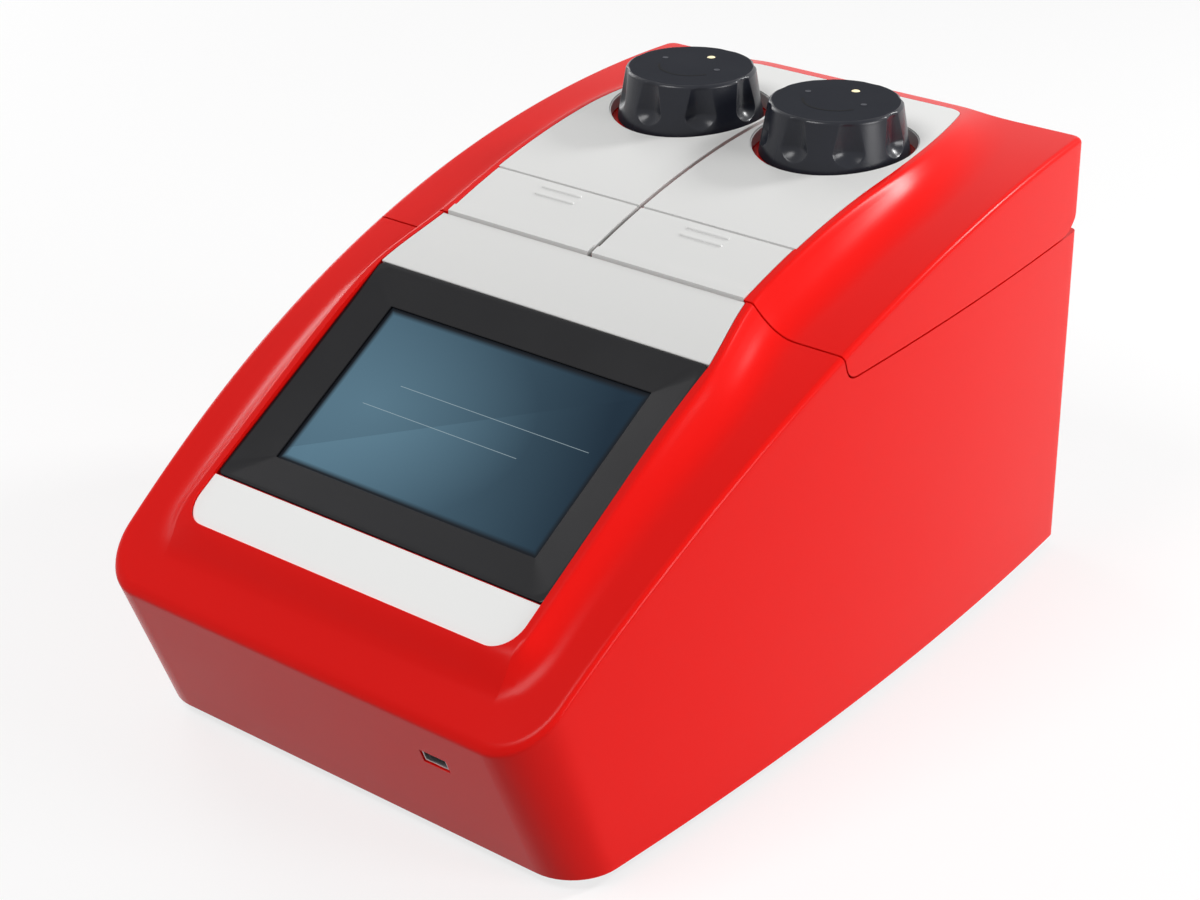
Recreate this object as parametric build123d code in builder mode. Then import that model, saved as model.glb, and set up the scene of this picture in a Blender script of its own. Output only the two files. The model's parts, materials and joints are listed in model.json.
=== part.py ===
"""Bench thermal cycler with two sample blocks under two hinged lids.

Units are millimetres. X runs to the right, Y to the rear, Z up. The origin lies on the table, under the
middle of the case. Setbacks are measured forwards from the rear wall.
"""

import os
from math import atan2, cos, degrees, pi, radians, sin, sqrt, tan

from build123d import *

os.makedirs("parts", exist_ok=True)

# Case
case_depth = 447.0
case_half_width = 144.0  # at mid-depth, where the bowed sides are widest
side_bow = 11.3  # how much narrower each side is at the rear wall
bow_end_setback = 378.0  # in front of it the sides run straight to the nose
case_rear_height = 230.0  # without the feet
foot_height = 6.0
wall = 3.0
nose_height = 80.25  # where the ridges along the sides reach the nose
ridge_chamfer = 2.0
undercut_depth = 31.0  # how far the foot of the front face lies behind the nose
front_corner_radius = 24.0
rear_corner_radius = 4.0

# Raised middle of the top
crest_radius = 484.0
crest_setback = 75.0
crest_rise = 7.0  # above the rear ends of the ridges
front_slope = 31.5  # degrees, the straight part in front of the crest's arc
lid_rim_half_width = 96.0
front_rim_half_width = 106.0
rear_rim_setback = 130.0  # behind it the rim draws in
rear_rim_radius = 280.0
rim_shift_start = 225.0  # the rim widens from the lids to the front between these setbacks
rim_shift_end = 290.0
tongue_front_margin = 4.0  # in front of the front plate
flank_width_rear = 26.0
flank_width_front = 13.0
tongue_corner_start = 12.0  # in plan, its front corners turn from here inside the rim
tongue_corner_middle = (3.0, 9.0)  # outside the rim and behind the front
tongue_corner_end = (21.0, 34.0)
rim_width = 4.0  # red edge left round the inset covers
tongue_root = 10.0  # how deep its sides reach into the low form
tongue_stations = (-8, 40, 85, 130, 180, 225, 257, 290, 350)

# Seam, lids and hinges
seam_height = 180.0  # above the bottom of the case
seam_gap = 1.0
split_gap = 2.0  # between the two lids
lid_front_setback = 226.9  # at the seam
lid_edge_setback = 237.0  # at the top
lid_corner_radius = 8.0
hinge_radius = 18.0
inner_hinge_offset = 24.0
outer_hinge_inset = 20.7  # from the side of the case at the rear
bracket_thickness = 6.0
bracket_stem = 10.0
bracket_eye_radius = 8.5
bracket_foot_thickness = 3.0
bracket_foot_length = 24.0
bracket_foot_width = 20.0
hinge_pin_radius = 3.0
hinge_arm_thickness = 4.0
hinge_arm_eye_radius = 9.0
hinge_arm_height = 8.0
hinge_arm_front_setback = 49.0
lid_floor_front_setback = 30.0  # the lid's own floor behind this line closes its hinge end

# Clearances, and how far cutting forms run past what they cut
fit_gap = 0.3
run_gap = 0.4
slot_gap = 1.0
overrun = 20.0

# Inset covers
cover_thickness = 3.0
cover_seat_gap = 0.2
panel_front_setback = 196.8
panel_rear_setback = 12.0
panel_corner_radius = 8.0
band_rear_gap = 1.2  # behind it the lid's edge
plate_gap = 1.1  # below the bezel
plate_length = 23.1
plate_corner_radius = 13.0
plate_sink = 1.0

# Display
bezel_top_setback = 276.1
bezel_length = 136.6
bezel_half_width = 101.0
bezel_slope = 30.5
bezel_top_drop = 0.4
bezel_thickness = 5.0
bezel_corner_radius = 3.0
bezel_rim = 2.0  # flat edge outside the frame's slopes
bezel_inner_edge = 1.4  # thickness left where the slopes meet the window
window_width = 160.6
window_length = 96.1
glass_margin = 4.0
glass_thickness = 2.0
screen_margin = 2.0
screen_thickness = 7.0

# Knobs and wells
knob_setback = 97.4
knob_offset = 45.3
knob_top_radius = 33.6
knob_skirt_radius = 38.4
knob_height = 27.6
knob_rise = 21.1  # of the knob's top above the lid at its centre
knob_edge_chamfer = 1.6
scallop_count = 8
scallop_radius = 7.5
scallop_foot = 5.5  # height of its lower end above the knob's underside
scallop_foot_bite = 3.6
scallop_top_bite = 1.8
well_radius = 42.5
knob_air = 1.2  # between the knob's underside and the floor of its well
lamp_radius = 2.3
lamp_offset = 17.6
lamp_depth = 2.0
spindle_radius = 6.0
spindle_in_knob = 14.0
lock_nut_radius = 10.0
lock_nut_thickness = 3.0

# Latch flap
flap_front_setback = 235.3
flap_rear_setback = 198.2
flap_outer_edge = 91.0
flap_thickness = 3.0
flap_lip_width = 4.0
flap_lip_rise = 0.9
flap_lip_drop = 7.0
flap_rib_length = 25.0
flap_rib_width = 1.6
flap_rib_rise = 0.6
flap_rib_setbacks = (202.2, 208.0)
tray_depth = 14.0
tray_floor = 3.0
latch_pin_radius = 1.25
latch_pin_depth = 5.8
latch_pin_setback = 200.2
latch_pin_length = 76.0
lug_spread = 30.0
lug_width = 8.0
lug_radius = 2.5
ear_spread = 36.0
ear_width = 4.0
hook_width = 16.0
hook_setback = 209.5
hook_thickness = 3.5
hook_bottom_height = 175.6
hook_swing = 7.2  # how far its lower end swings forwards
striker_width = 26.0
striker_bar = 3.0
striker_rise = 4.5
striker_gap = 0.5

# Sample bay
bay_floor_height = 172.0
bay_front_setback = 222.6
bay_plate_thickness = 2.0
bay_ledge = 5.0  # of the housing, under the edge of the bay plate
block_width = 63.0
block_length = 81.0
block_top_height = 176.0
block_bottom_height = 150.0
block_flange = 3.5
block_flange_thickness = 4.0
block_gap = 0.7
well_pitch = 9.0
well_rows = 8
well_columns = 6
tube_well_radius = 3.3
tube_well_depth = 15.0
tube_well_sides = 6
tile_size = 28.0
tile_thickness = 4.0
tile_pitch = 30.0
sink_width = 84.0
sink_length = 110.0
sink_base = 8.0
fin_height = 50.0
fin_thickness = 2.0
fin_pitch = 7.4
fin_count = 11
post_radius = 3.0
post_spread_x = 38.5
post_spread_y = 50.0

# Heated plate in each lid
heater_width = 74.0
heater_length = 90.0
heater_thickness = 4.0
heater_height = 185.6  # its underside when it is raised
insulation_thickness = 6.0
pressure_plate_thickness = 5.0
nut_height = 6.0
nut_radius = 11.0
guide_side = 6.0
guide_spread = 28.0
liner_height = 182.0
liner_thickness = 3.0

# Rear panel and what it carries
panel_opening_half_width = 112.0
panel_opening_bottom = 14.0
panel_opening_top = 156.0
panel_overlap = 4.0
panel_thickness = 2.0
fan_size = 80.0
fan_depth = 25.0
fan_offset = 45.3
fan_height = 106.0
fan_bore_radius = 37.5
fan_hub_radius = 13.0
fan_tip_gap = 1.5
fan_blade_count = 7
fan_blade_thickness = 1.6
fan_blade_pitch_angle = 42.0
fan_strut = 4.0
grille_slot_width = 4.0
grille_slot_pitch = 7.4
inlet_offset = -84.0
inlet_height = 36.0
inlet_width = 27.0
inlet_tall = 20.0
inlet_depth = 16.0
inlet_wall = 1.6
inlet_flange = 4.0
flange_thickness = 1.5
inlet_corner = 5.0
prong_width = 2.0
prong_tall = 4.0
prong_length = 12.0
prong_spread = 7.0
prong_drop = 1.0  # of the outer pair below the inlet's middle
switch_offset = -42.0
rocker_radius = 10.0
rocker_width = 12.0
rocker_gap = 0.6
rocker_tilt = 8.0
rocker_axis_setback = 4.4
switch_wall = 2.0
socket_offset = 40.0
socket_height = 34.0
socket_pitch = 24.0
socket_width = 13.0
socket_tall = 12.0
socket_depth = 14.0
socket_wall = 1.0

# Front socket
port_offset = 74.0
port_height = 55.0
port_width = 14.5
port_tall = 7.2
port_wall = 0.8
port_depth = 14.0
port_sink = 0.8
port_tongue_width = 11.0
port_tongue_thickness = 1.8
port_gap = 0.6
port_board_width = 30.0
port_board_length = 22.0
board_thickness = 1.6

# Base and electronics
base_thickness = 2.0
foot_radius = 11.0
foot_spread = 100.0
foot_front_setback = 388.0
foot_rear_setback = 40.0
vent_length = 60.0
vent_width = 4.0
vent_pitch = 10.0
vent_count = 7
vent_setback = 150.0
board_width = 150.0
board_length = 110.0
board_setback = 325.0
standoff_height = 10.0
standoff_radius = 3.5
supply_width = 92.0
supply_length = 170.0
supply_height = 38.0
supply_offset = -62.0
supply_setback = 150.0

rear_y = case_depth / 2
nose_y = -case_depth / 2
base_z = foot_height
rear_top_z = base_z + case_rear_height
seam_z = base_z + seam_height
crest_y = rear_y - crest_setback
crest_z = rear_top_z + crest_rise
hinge_y = rear_y - hinge_radius
hinge_z = seam_z + hinge_radius
knob_y = rear_y - knob_setback
case_end_half_width = case_half_width - side_bow
bow_radius = (rear_y**2 + side_bow**2) / (2 * side_bow)
ridge_drop = case_rear_height - nose_height
ridge_radius = (case_depth**2 + ridge_drop**2) / (2 * ridge_drop)
far = 2 * case_depth
band_front_setback = bezel_top_setback - fit_gap
band_rear_setback = lid_edge_setback + band_rear_gap
plate_rear_setback = bezel_top_setback + bezel_length * cos(radians(bezel_slope)) + plate_gap
plate_front_setback = plate_rear_setback + plate_length
tongue_front_setback = plate_front_setback + tongue_front_margin
hinge_places = (inner_hinge_offset, case_end_half_width - outer_hinge_inset)


def ridge_z(y):
    """Height of the ridge along the sides."""
    return rear_top_z - ridge_radius + sqrt(ridge_radius**2 - (rear_y - y) ** 2)


def plateau_z(y, depth=0.0):
    """Height of the raised middle at y, or of a surface a given depth below it."""
    radius = crest_radius - depth
    centre_z = crest_z - crest_radius
    tangent_y = crest_y - radius * sin(radians(front_slope))
    if y >= tangent_y:
        return centre_z + sqrt(radius**2 - (y - crest_y) ** 2)
    tangent_z = centre_z + radius * cos(radians(front_slope))
    return tangent_z - (tangent_y - y) * tan(radians(front_slope))


lid_front_height = plateau_z(rear_y - lid_edge_setback) - seam_z
lid_front_lean = degrees(atan2(lid_edge_setback - lid_front_setback, lid_front_height))


def rim_x(y):
    """Half-width of the raised middle at its rim."""
    setback = rear_y - y
    if setback < rear_rim_setback:
        return lid_rim_half_width - (rear_rim_setback - setback) ** 2 / (2 * rear_rim_radius)
    if setback < rim_shift_start:
        return lid_rim_half_width
    share = min(1.0, (setback - rim_shift_start) / (rim_shift_end - rim_shift_start))
    widening = front_rim_half_width - lid_rim_half_width
    return lid_rim_half_width + widening * (1 - cos(pi * share)) / 2


def low_form(inset):
    """Outer form of the case below its ridges, or the room inside it, which is open below."""
    bottom = base_z - 2 * inset
    top = rear_top_z + overrun
    lean = undercut_depth / (ridge_z(nose_y) - base_z)
    foot_y = nose_y + undercut_depth
    with BuildPart() as form:
        with BuildSketch(Plane.YZ):
            with BuildLine():
                front_foot = (foot_y + lean * (base_z - bottom), bottom)
                front_top = (foot_y - lean * (top - base_z), top)
                Polyline(front_foot, (rear_y, bottom), (rear_y, top), front_top, close=True)
            make_face()
            if inset > 0:
                offset(amount=-inset, kind=Kind.INTERSECTION)
        extrude(amount=case_half_width + overrun, both=True)
        with BuildSketch(Plane.XY):
            add(plan_outline(inset))
        extrude(amount=far, both=True, mode=Mode.INTERSECT)
        uprights = form.edges().filter_by(lambda edge: edge.bounding_box().size.Z > case_rear_height)
        fillet(uprights.group_by(Axis.Y)[0], front_corner_radius - inset)
        if inset < rear_corner_radius:
            rear_uprights = form.edges().filter_by(Axis.Z).group_by(Axis.Y)[-1]
            fillet(rear_uprights, rear_corner_radius - inset)
        with BuildSketch(Plane.YZ):
            with BuildLine():
                radius = ridge_radius - inset
                centre_z = rear_top_z - ridge_radius
                front = nose_y - 4 * overrun
                start = (rear_y, centre_z + radius)
                middle_z = centre_z + sqrt(radius**2 - rear_y**2)
                end = (front, centre_z + sqrt(radius**2 - (rear_y - front) ** 2))
                ThreePointArc(start, (0, middle_z), end)
                Polyline(end, (front, bottom - far), (rear_y, bottom - far), start)
            make_face()
        extrude(amount=case_half_width + overrun, both=True, mode=Mode.INTERSECT)
        if inset == 0:
            top_face = form.faces().filter_by(GeomType.CYLINDER).sort_by(SortBy.AREA)[-1]
            ridges_end = rear_y - 2 * rear_corner_radius
            chamfer(top_face.edges().filter_by(lambda edge: edge.center().Y < ridges_end), ridge_chamfer)
    return form.part


def plan_outline(inset):
    """Plan of the case, with sides that bow outwards and run straight near the front."""
    bow_end_y = rear_y - bow_end_setback
    bow_centre_x = case_half_width - bow_radius
    bow_end_x = bow_centre_x + sqrt(bow_radius**2 - bow_end_y**2)
    front = nose_y - 4 * overrun
    front_x = bow_end_x - (front - bow_end_y) * bow_end_y / (bow_end_x - bow_centre_x)
    with BuildSketch() as plan:
        with BuildLine():
            for side in (1, -1):
                bow_end = (side * bow_end_x, bow_end_y)
                ThreePointArc(bow_end, (side * case_half_width, 0), (side * case_end_half_width, rear_y))
                Line(bow_end, (side * front_x, front))
            Line((-front_x, front), (front_x, front))
            Line((-case_end_half_width, rear_y), (case_end_half_width, rear_y))
        make_face()
        if inset > 0:
            offset(amount=-inset, kind=Kind.INTERSECTION)
    return plan.sketch


def tongue_section(y, inset):
    """Corner points of the right half of a cross-section through the raised middle, from foot to rim."""
    top = plateau_z(y, inset)
    low = min(ridge_z(y) - inset, top - 1.0)
    rise = top - low
    share = max(rear_y - y, 0) / tongue_front_setback
    flank = flank_width_rear + (flank_width_front - flank_width_rear) * share
    rim = rim_x(y) - inset
    return [
        (rim + flank, low - tongue_root),
        (rim + flank, low - 2),
        (rim + 0.6 * flank, low + 0.01 * rise),
        (rim + 0.3 * flank, low + 0.12 * rise),
        (rim + 1.5, top - 0.25 * rise),
        (rim - 1.5, top - 0.03 * rise),
        (rim - 1.5 - rim_width, top + rim_width),
    ]


def tongue_form(inset):
    """Raised middle of the case, with flanks that run out onto the low form."""
    front = rear_y - tongue_front_setback + inset
    with BuildPart() as form:
        for setback in (*tongue_stations, tongue_front_setback):
            right = tongue_section(rear_y - setback, inset)
            left = [(-x, z) for x, z in reversed(right)]
            with BuildSketch(Plane.XZ.offset(setback - rear_y)):
                with BuildLine():
                    Polyline(*right, *left, close=True)
                make_face()
        loft(ruled=True)
        with BuildSketch(Plane.YZ):
            with BuildLine():
                radius = crest_radius - inset
                centre_z = crest_z - crest_radius
                turn_y = crest_y - radius * sin(radians(front_slope))
                middle_y = (turn_y + rear_y) / 2
                points = [(y, plateau_z(y, inset)) for y in (turn_y, middle_y, rear_y - inset)]
                start = (front, plateau_z(front, inset))
                ThreePointArc(*points)
                Polyline(points[0], start, (front, 0), (rear_y - inset, 0), points[2])
            make_face()
        extrude(amount=case_half_width, both=True, mode=Mode.INTERSECT)
        with BuildSketch():
            with BuildLine():
                corner = front_rim_half_width - tongue_corner_start
                wide = front_rim_half_width + tongue_corner_end[0]
                Line((-corner, front), (corner, front))
                Line((-wide, rear_y), (wide, rear_y))
                for side in (1, -1):
                    turn_x = front_rim_half_width + tongue_corner_middle[0]
                    turn = (side * turn_x, front + tongue_corner_middle[1])
                    corner_end = (side * wide, front + tongue_corner_end[1])
                    ThreePointArc((side * corner, front), turn, corner_end)
                    Line(corner_end, (side * wide, rear_y))
            make_face()
        extrude(amount=far, mode=Mode.INTERSECT)
    return form.part


def plateau_strip(front_setback, rear_setback, upper, lower):
    """Side view of the layer between two depths below the plateau."""
    front, back = rear_y - front_setback, rear_y - rear_setback
    middle = (front + back) / 2
    with BuildSketch() as strip:
        with BuildLine():
            for depth in (upper, lower):
                ends = (front, plateau_z(front, depth)), (back, plateau_z(back, depth))
                ThreePointArc(ends[0], (middle, plateau_z(middle, depth)), ends[1])
            for y in (front, back):
                Line((y, plateau_z(y, upper)), (y, plateau_z(y, lower)))
        make_face()
    return strip.sketch


def straight_strip(front_setback, rear_setback, upper, lower):
    """As plateau_strip, where the plateau is straight."""
    front, back = rear_y - front_setback, rear_y - rear_setback
    with BuildSketch() as strip:
        with BuildLine():
            corners = [(front, plateau_z(front, upper)), (back, plateau_z(back, upper))]
            corners += [(back, plateau_z(back, lower)), (front, plateau_z(front, lower))]
            Polyline(*corners, close=True)
        make_face()
    return strip.sketch


def lid_zone(grow):
    """Side view of the room of the lids, grown all round."""
    lean = radians(lid_front_lean)
    bottom = seam_z - grow
    shift = grow / cos(lean)
    foot_y = rear_y - lid_front_setback - shift + grow * tan(lean)
    top = crest_z + 2 * overrun
    top_y = foot_y - (top - bottom) * tan(lean)
    with BuildSketch() as zone:
        with BuildLine():
            behind = rear_y + overrun
            corners = [(top_y, top), (foot_y, bottom), (behind, bottom), (behind, top)]
            Polyline(*corners, close=True)
        make_face()
        fillet(zone.vertices().sort_by_distance((foot_y, bottom))[0], lid_corner_radius + grow)
    return zone.sketch


def write_piece(piece, name):
    """Labels a piece and writes it."""
    piece.label = name
    export_step(piece, f"parts/{name}.step")


def write_pair(piece, name):
    """Writes a right-hand piece and its mirror image."""
    write_piece(piece, f"{name}_right")
    with BuildPart() as twin:
        mirror(piece, about=Plane.YZ)
    write_piece(twin.part, f"{name}_left")


# Forms that the shells share
cover_seat = cover_thickness + cover_seat_gap
with BuildPart() as case_form:
    add(low_form(0))
    add(tongue_form(0))

with BuildPart() as case_room:
    add(low_form(wall))
    add(tongue_form(cover_seat + wall))

with BuildPart() as lower_room:
    add(case_room.part)
    with BuildSketch(Plane.YZ):
        add(lid_zone(seam_gap + wall))
    extrude(amount=case_half_width, both=True, mode=Mode.SUBTRACT)


def bay_form(grow, bottom, top):
    """Room of the sample bay, whose sides follow the case."""
    with BuildPart() as bay:
        with BuildSketch(Plane.XY.offset(bottom)):
            add(plan_outline(2 * wall - grow))
            front = rear_y - bay_front_setback - grow
            with Locations((0, front - case_depth / 2)):
                Rectangle(case_depth, case_depth, mode=Mode.SUBTRACT)
        extrude(amount=top - bottom)
    return bay.part


# Lower housing: a moulded shell, open below, with the sunk sample bay under the lids
bay_floor_z = base_z + bay_floor_height
block_opening_width = block_width + 2 * block_gap
block_opening_length = block_length + 2 * block_gap
bezel_middle = bezel_top_setback + bezel_length / 2 * cos(radians(bezel_slope))
bezel_centre_z = (
    plateau_z(rear_y - bezel_top_setback)
    - bezel_top_drop
    - bezel_length / 2 * sin(radians(bezel_slope))
)
bezel_plane = Plane(
    origin=(0, rear_y - bezel_middle, bezel_centre_z),
    x_dir=(1, 0, 0),
    z_dir=(0, -sin(radians(bezel_slope)), cos(radians(bezel_slope))),
)
glass_width = window_width + 2 * glass_margin
glass_length = window_length + 2 * glass_margin
front_rise = ridge_z(nose_y) - base_z
port_plane = Plane(
    origin=(port_offset, nose_y + undercut_depth * (1 - port_height / front_rise), base_z + port_height),
    x_dir=(1, 0, 0),
    z_dir=(0, -front_rise, -undercut_depth),
)

with BuildPart() as housing_room:
    add(lower_room.part)
    add(bay_form(wall, bay_floor_z - wall, seam_z), mode=Mode.SUBTRACT)

with BuildPart() as lower_housing:
    add(case_form.part)
    with BuildSketch(Plane.YZ):
        add(lid_zone(seam_gap))
    extrude(amount=case_half_width + 10, both=True, mode=Mode.SUBTRACT)
    add(bay_form(0, bay_floor_z, seam_z), mode=Mode.SUBTRACT)
    add(housing_room.part, mode=Mode.SUBTRACT)
    add(bay_form(-bay_ledge, bay_floor_z - 2 * wall, seam_z), mode=Mode.SUBTRACT)
    with BuildSketch(Plane.YZ):
        plate_seat = plate_front_setback + fit_gap, plate_rear_setback - fit_gap
        add(straight_strip(*plate_seat, -overrun, cover_seat + plate_sink))
    extrude(amount=bezel_half_width + fit_gap, both=True, mode=Mode.SUBTRACT)
    with BuildSketch(Plane.YZ):
        add(plateau_strip(band_front_setback + fit_gap, lid_front_setback, -overrun, cover_seat))
    extrude(amount=lid_rim_half_width - rim_width + fit_gap, both=True, mode=Mode.SUBTRACT)
    with BuildSketch(bezel_plane.offset(-bezel_thickness)):
        Rectangle(2 * (bezel_half_width + fit_gap), bezel_length + 2 * fit_gap)
    extrude(amount=4 * bezel_thickness, mode=Mode.SUBTRACT)
    with BuildSketch(bezel_plane.offset(-6 * bezel_thickness)):
        Rectangle(glass_width + 2 * fit_gap, glass_length + 2 * fit_gap)
    extrude(amount=6 * bezel_thickness, mode=Mode.SUBTRACT)
    with BuildSketch(port_plane.offset(-port_depth)):
        Rectangle(port_width + 2 * port_gap, port_tall + 2 * port_gap)
    extrude(amount=2 * port_depth, mode=Mode.SUBTRACT)
    with BuildSketch(Plane.XZ.offset(-rear_y)):
        middle_z = base_z + (panel_opening_bottom + panel_opening_top) / 2
        with Locations((0, middle_z)):
            Rectangle(2 * panel_opening_half_width, panel_opening_top - panel_opening_bottom)
    extrude(amount=2 * wall, mode=Mode.SUBTRACT)
write_piece(lower_housing.part, "lower_housing")

# Base plate: sheet metal that closes the housing from below, with air slots
with BuildPart() as base_plate:
    add(low_form(wall + fit_gap))
    with BuildSketch(Plane.XY.offset(base_z)):
        Rectangle(2 * case_half_width, 2 * case_depth)
    extrude(amount=base_thickness, mode=Mode.INTERSECT)
    with Locations((0, rear_y - vent_setback, base_z)):
        with GridLocations(0, vent_pitch, 1, vent_count):
            Box(vent_length, vent_width, 4 * base_thickness, mode=Mode.SUBTRACT)
write_piece(base_plate.part, "base_plate")

# Feet, pressed into the base plate
foot_middle = (foot_front_setback + foot_rear_setback) / 2
foot_span = foot_front_setback - foot_rear_setback
with BuildPart() as feet:
    with BuildSketch(Plane.XY.offset(base_z)):
        with Locations((0, rear_y - foot_middle)):
            with GridLocations(2 * foot_spread, foot_span, 2, 2):
                RegularPolygon(foot_radius, 8, rotation=22.5)
    extrude(amount=-foot_height)
write_piece(feet.part, "feet")

# Covers inset in the front of the housing
with BuildPart() as front_plate:
    with BuildSketch(Plane.YZ):
        add(straight_strip(plate_front_setback, plate_rear_setback, plate_sink, plate_sink + cover_thickness))
    extrude(amount=bezel_half_width, both=True)
    with BuildSketch():
        plate_front, plate_back = rear_y - plate_front_setback, rear_y - plate_rear_setback
        plate_middle = (plate_front + plate_back + plate_corner_radius) / 2
        with Locations((0, plate_middle)):
            RectangleRounded(
                2 * bezel_half_width, plate_back - plate_front + plate_corner_radius, plate_corner_radius
            )
        with Locations((0, plate_back + plate_corner_radius)):
            Rectangle(4 * bezel_half_width, 2 * plate_corner_radius, mode=Mode.SUBTRACT)
    extrude(amount=far, mode=Mode.INTERSECT)
write_piece(front_plate.part, "front_plate")

with BuildPart() as front_band:
    with BuildSketch(Plane.YZ):
        add(plateau_strip(band_front_setback, band_rear_setback, 0, cover_thickness))
    extrude(amount=case_half_width, both=True)
    with BuildSketch(Plane.XY):
        with BuildLine():
            band_front = rear_y - band_front_setback
            band_back = rear_y - band_rear_setback
            inner = lid_rim_half_width - rim_width
            Line((-inner, band_front), (inner, band_front))
            Line((-inner, band_back), (inner, band_back))
            for side in (1, -1):
                Line((side * inner, band_front), (side * inner, band_back))
        make_face()
    extrude(amount=far, mode=Mode.INTERSECT)
    with BuildSketch(bezel_plane.offset(-bezel_thickness - fit_gap)):
        Rectangle(2 * (bezel_half_width + fit_gap), bezel_length + 2 * fit_gap)
    extrude(amount=4 * bezel_thickness, mode=Mode.SUBTRACT)
write_piece(front_band.part, "front_band")

# Display: bezel, glass and screen behind it
with BuildPart() as display_bezel:
    with BuildSketch(bezel_plane.offset(-bezel_thickness)):
        RectangleRounded(2 * bezel_half_width, bezel_length, bezel_corner_radius)
    extrude(amount=bezel_thickness)
    with BuildSketch(bezel_plane.offset(-bezel_thickness)):
        Rectangle(window_width, window_length)
    extrude(amount=bezel_thickness, mode=Mode.SUBTRACT)
    with BuildPart(mode=Mode.PRIVATE) as frame_slopes:
        across = Plane(origin=bezel_plane.origin, x_dir=bezel_plane.x_dir, z_dir=-bezel_plane.y_dir)
        along = Plane(origin=bezel_plane.origin, x_dir=bezel_plane.y_dir, z_dir=bezel_plane.x_dir)
        slope_foot = bezel_inner_edge - bezel_thickness
        for plane, inner_half, outer_half, mode in (
            (across, window_width / 2, bezel_half_width - bezel_rim, Mode.ADD),
            (along, window_length / 2, bezel_length / 2 - bezel_rim, Mode.INTERSECT),
        ):
            with BuildSketch(plane):
                with BuildLine():
                    low_corners = [(-inner_half, slope_foot), (inner_half, slope_foot)]
                    high_half = outer_half - (outer_half - inner_half) / slope_foot * overrun
                    Polyline(*low_corners, (high_half, overrun), (-high_half, overrun), close=True)
                make_face()
            extrude(amount=far, both=True, mode=mode)
    add(frame_slopes.part, mode=Mode.SUBTRACT)
write_piece(display_bezel.part, "display_bezel")

with BuildPart() as touch_panel:
    with BuildSketch(bezel_plane.offset(-bezel_thickness - glass_thickness)):
        Rectangle(glass_width, glass_length)
    extrude(amount=glass_thickness)
write_piece(touch_panel.part, "touch_panel")

with BuildPart() as display_module:
    with BuildSketch(bezel_plane.offset(-bezel_thickness - glass_thickness - screen_thickness)):
        Rectangle(glass_width - 2 * screen_margin, glass_length - 2 * screen_margin)
    extrude(amount=screen_thickness)
write_piece(display_module.part, "display_module")

# USB socket in the undercut front, with its small board
with BuildPart() as usb_socket:
    with BuildSketch(port_plane.offset(-port_sink - port_depth)):
        Rectangle(port_width, port_tall)
    extrude(amount=port_depth)
    with BuildSketch(port_plane.offset(-port_sink - port_depth + port_wall)):
        Rectangle(port_width - 2 * port_wall, port_tall - 2 * port_wall)
    extrude(amount=port_depth, mode=Mode.SUBTRACT)
    with BuildSketch(port_plane.offset(-port_sink - port_depth)):
        with Locations((0, port_tall / 2 - port_wall - port_tongue_thickness)):
            Rectangle(port_tongue_width, port_tongue_thickness)
    extrude(amount=port_depth - 2 * port_wall)
    with BuildSketch(port_plane.offset(-port_sink - port_depth - board_thickness)):
        Rectangle(port_board_width, port_board_length)
    extrude(amount=board_thickness)
write_piece(usb_socket.part, "usb_socket")

# Bay plate round the blocks
with BuildPart() as bay_plate:
    add(bay_form(-fit_gap, bay_floor_z, bay_floor_z + bay_plate_thickness))
    with BuildSketch(Plane.XY.offset(bay_floor_z)):
        with Locations((-knob_offset, knob_y), (knob_offset, knob_y)):
            Rectangle(block_opening_width, block_opening_length)
    extrude(amount=2 * bay_plate_thickness, mode=Mode.SUBTRACT)
write_piece(bay_plate.part, "bay_plate")
deck_z = bay_floor_z + bay_plate_thickness

# Sample blocks with pointed wells, the Peltier tiles below and the finned heat sinks
block_top_z = base_z + block_top_height
block_bottom_z = base_z + block_bottom_height
with BuildPart() as tube_well:
    with BuildSketch() as well_mouth:
        RegularPolygon(tube_well_radius, tube_well_sides)
    loft([well_mouth.sketch.face(), Vertex(0, 0, -tube_well_depth)])

with BuildPart() as sample_block:
    with Locations((knob_offset, knob_y, block_bottom_z)):
        align = (Align.CENTER, Align.CENTER, Align.MIN)
        Box(block_width, block_length, block_top_z - block_bottom_z, align=align)
        flange_size = 2 * block_flange
        Box(block_width + flange_size, block_length + flange_size, block_flange_thickness, align=align)
    with Locations((knob_offset, knob_y, block_top_z)):
        with GridLocations(well_pitch, well_pitch, well_columns, well_rows):
            add(tube_well.part, mode=Mode.SUBTRACT)
write_pair(sample_block.part, "sample_block")

tile_top_z = block_bottom_z
with BuildPart() as peltier_tiles:
    with Locations((knob_offset, knob_y, tile_top_z)):
        with GridLocations(tile_pitch, tile_pitch, 2, 3):
            Box(tile_size, tile_size, tile_thickness, align=(Align.CENTER, Align.CENTER, Align.MAX))
write_pair(peltier_tiles.part, "peltier_tiles")

sink_top_z = tile_top_z - tile_thickness
with BuildPart() as heat_sink:
    align = (Align.CENTER, Align.CENTER, Align.MAX)
    with Locations((knob_offset, knob_y, sink_top_z)):
        Box(sink_width, sink_length, sink_base, align=align)
    with Locations((knob_offset, knob_y, sink_top_z - sink_base)):
        with GridLocations(fin_pitch, 0, fin_count, 1):
            Box(fin_thickness, sink_length, fin_height, align=align)
write_pair(heat_sink.part, "heat_sink")

with BuildPart() as block_posts:
    with BuildSketch(Plane.XY.offset(sink_top_z)):
        with Locations((-knob_offset, knob_y), (knob_offset, knob_y)):
            with GridLocations(2 * post_spread_x, 2 * post_spread_y, 2, 2):
                RegularPolygon(post_radius, 6)
    extrude(amount=bay_floor_z - sink_top_z)
write_piece(block_posts.part, "block_posts")

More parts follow.
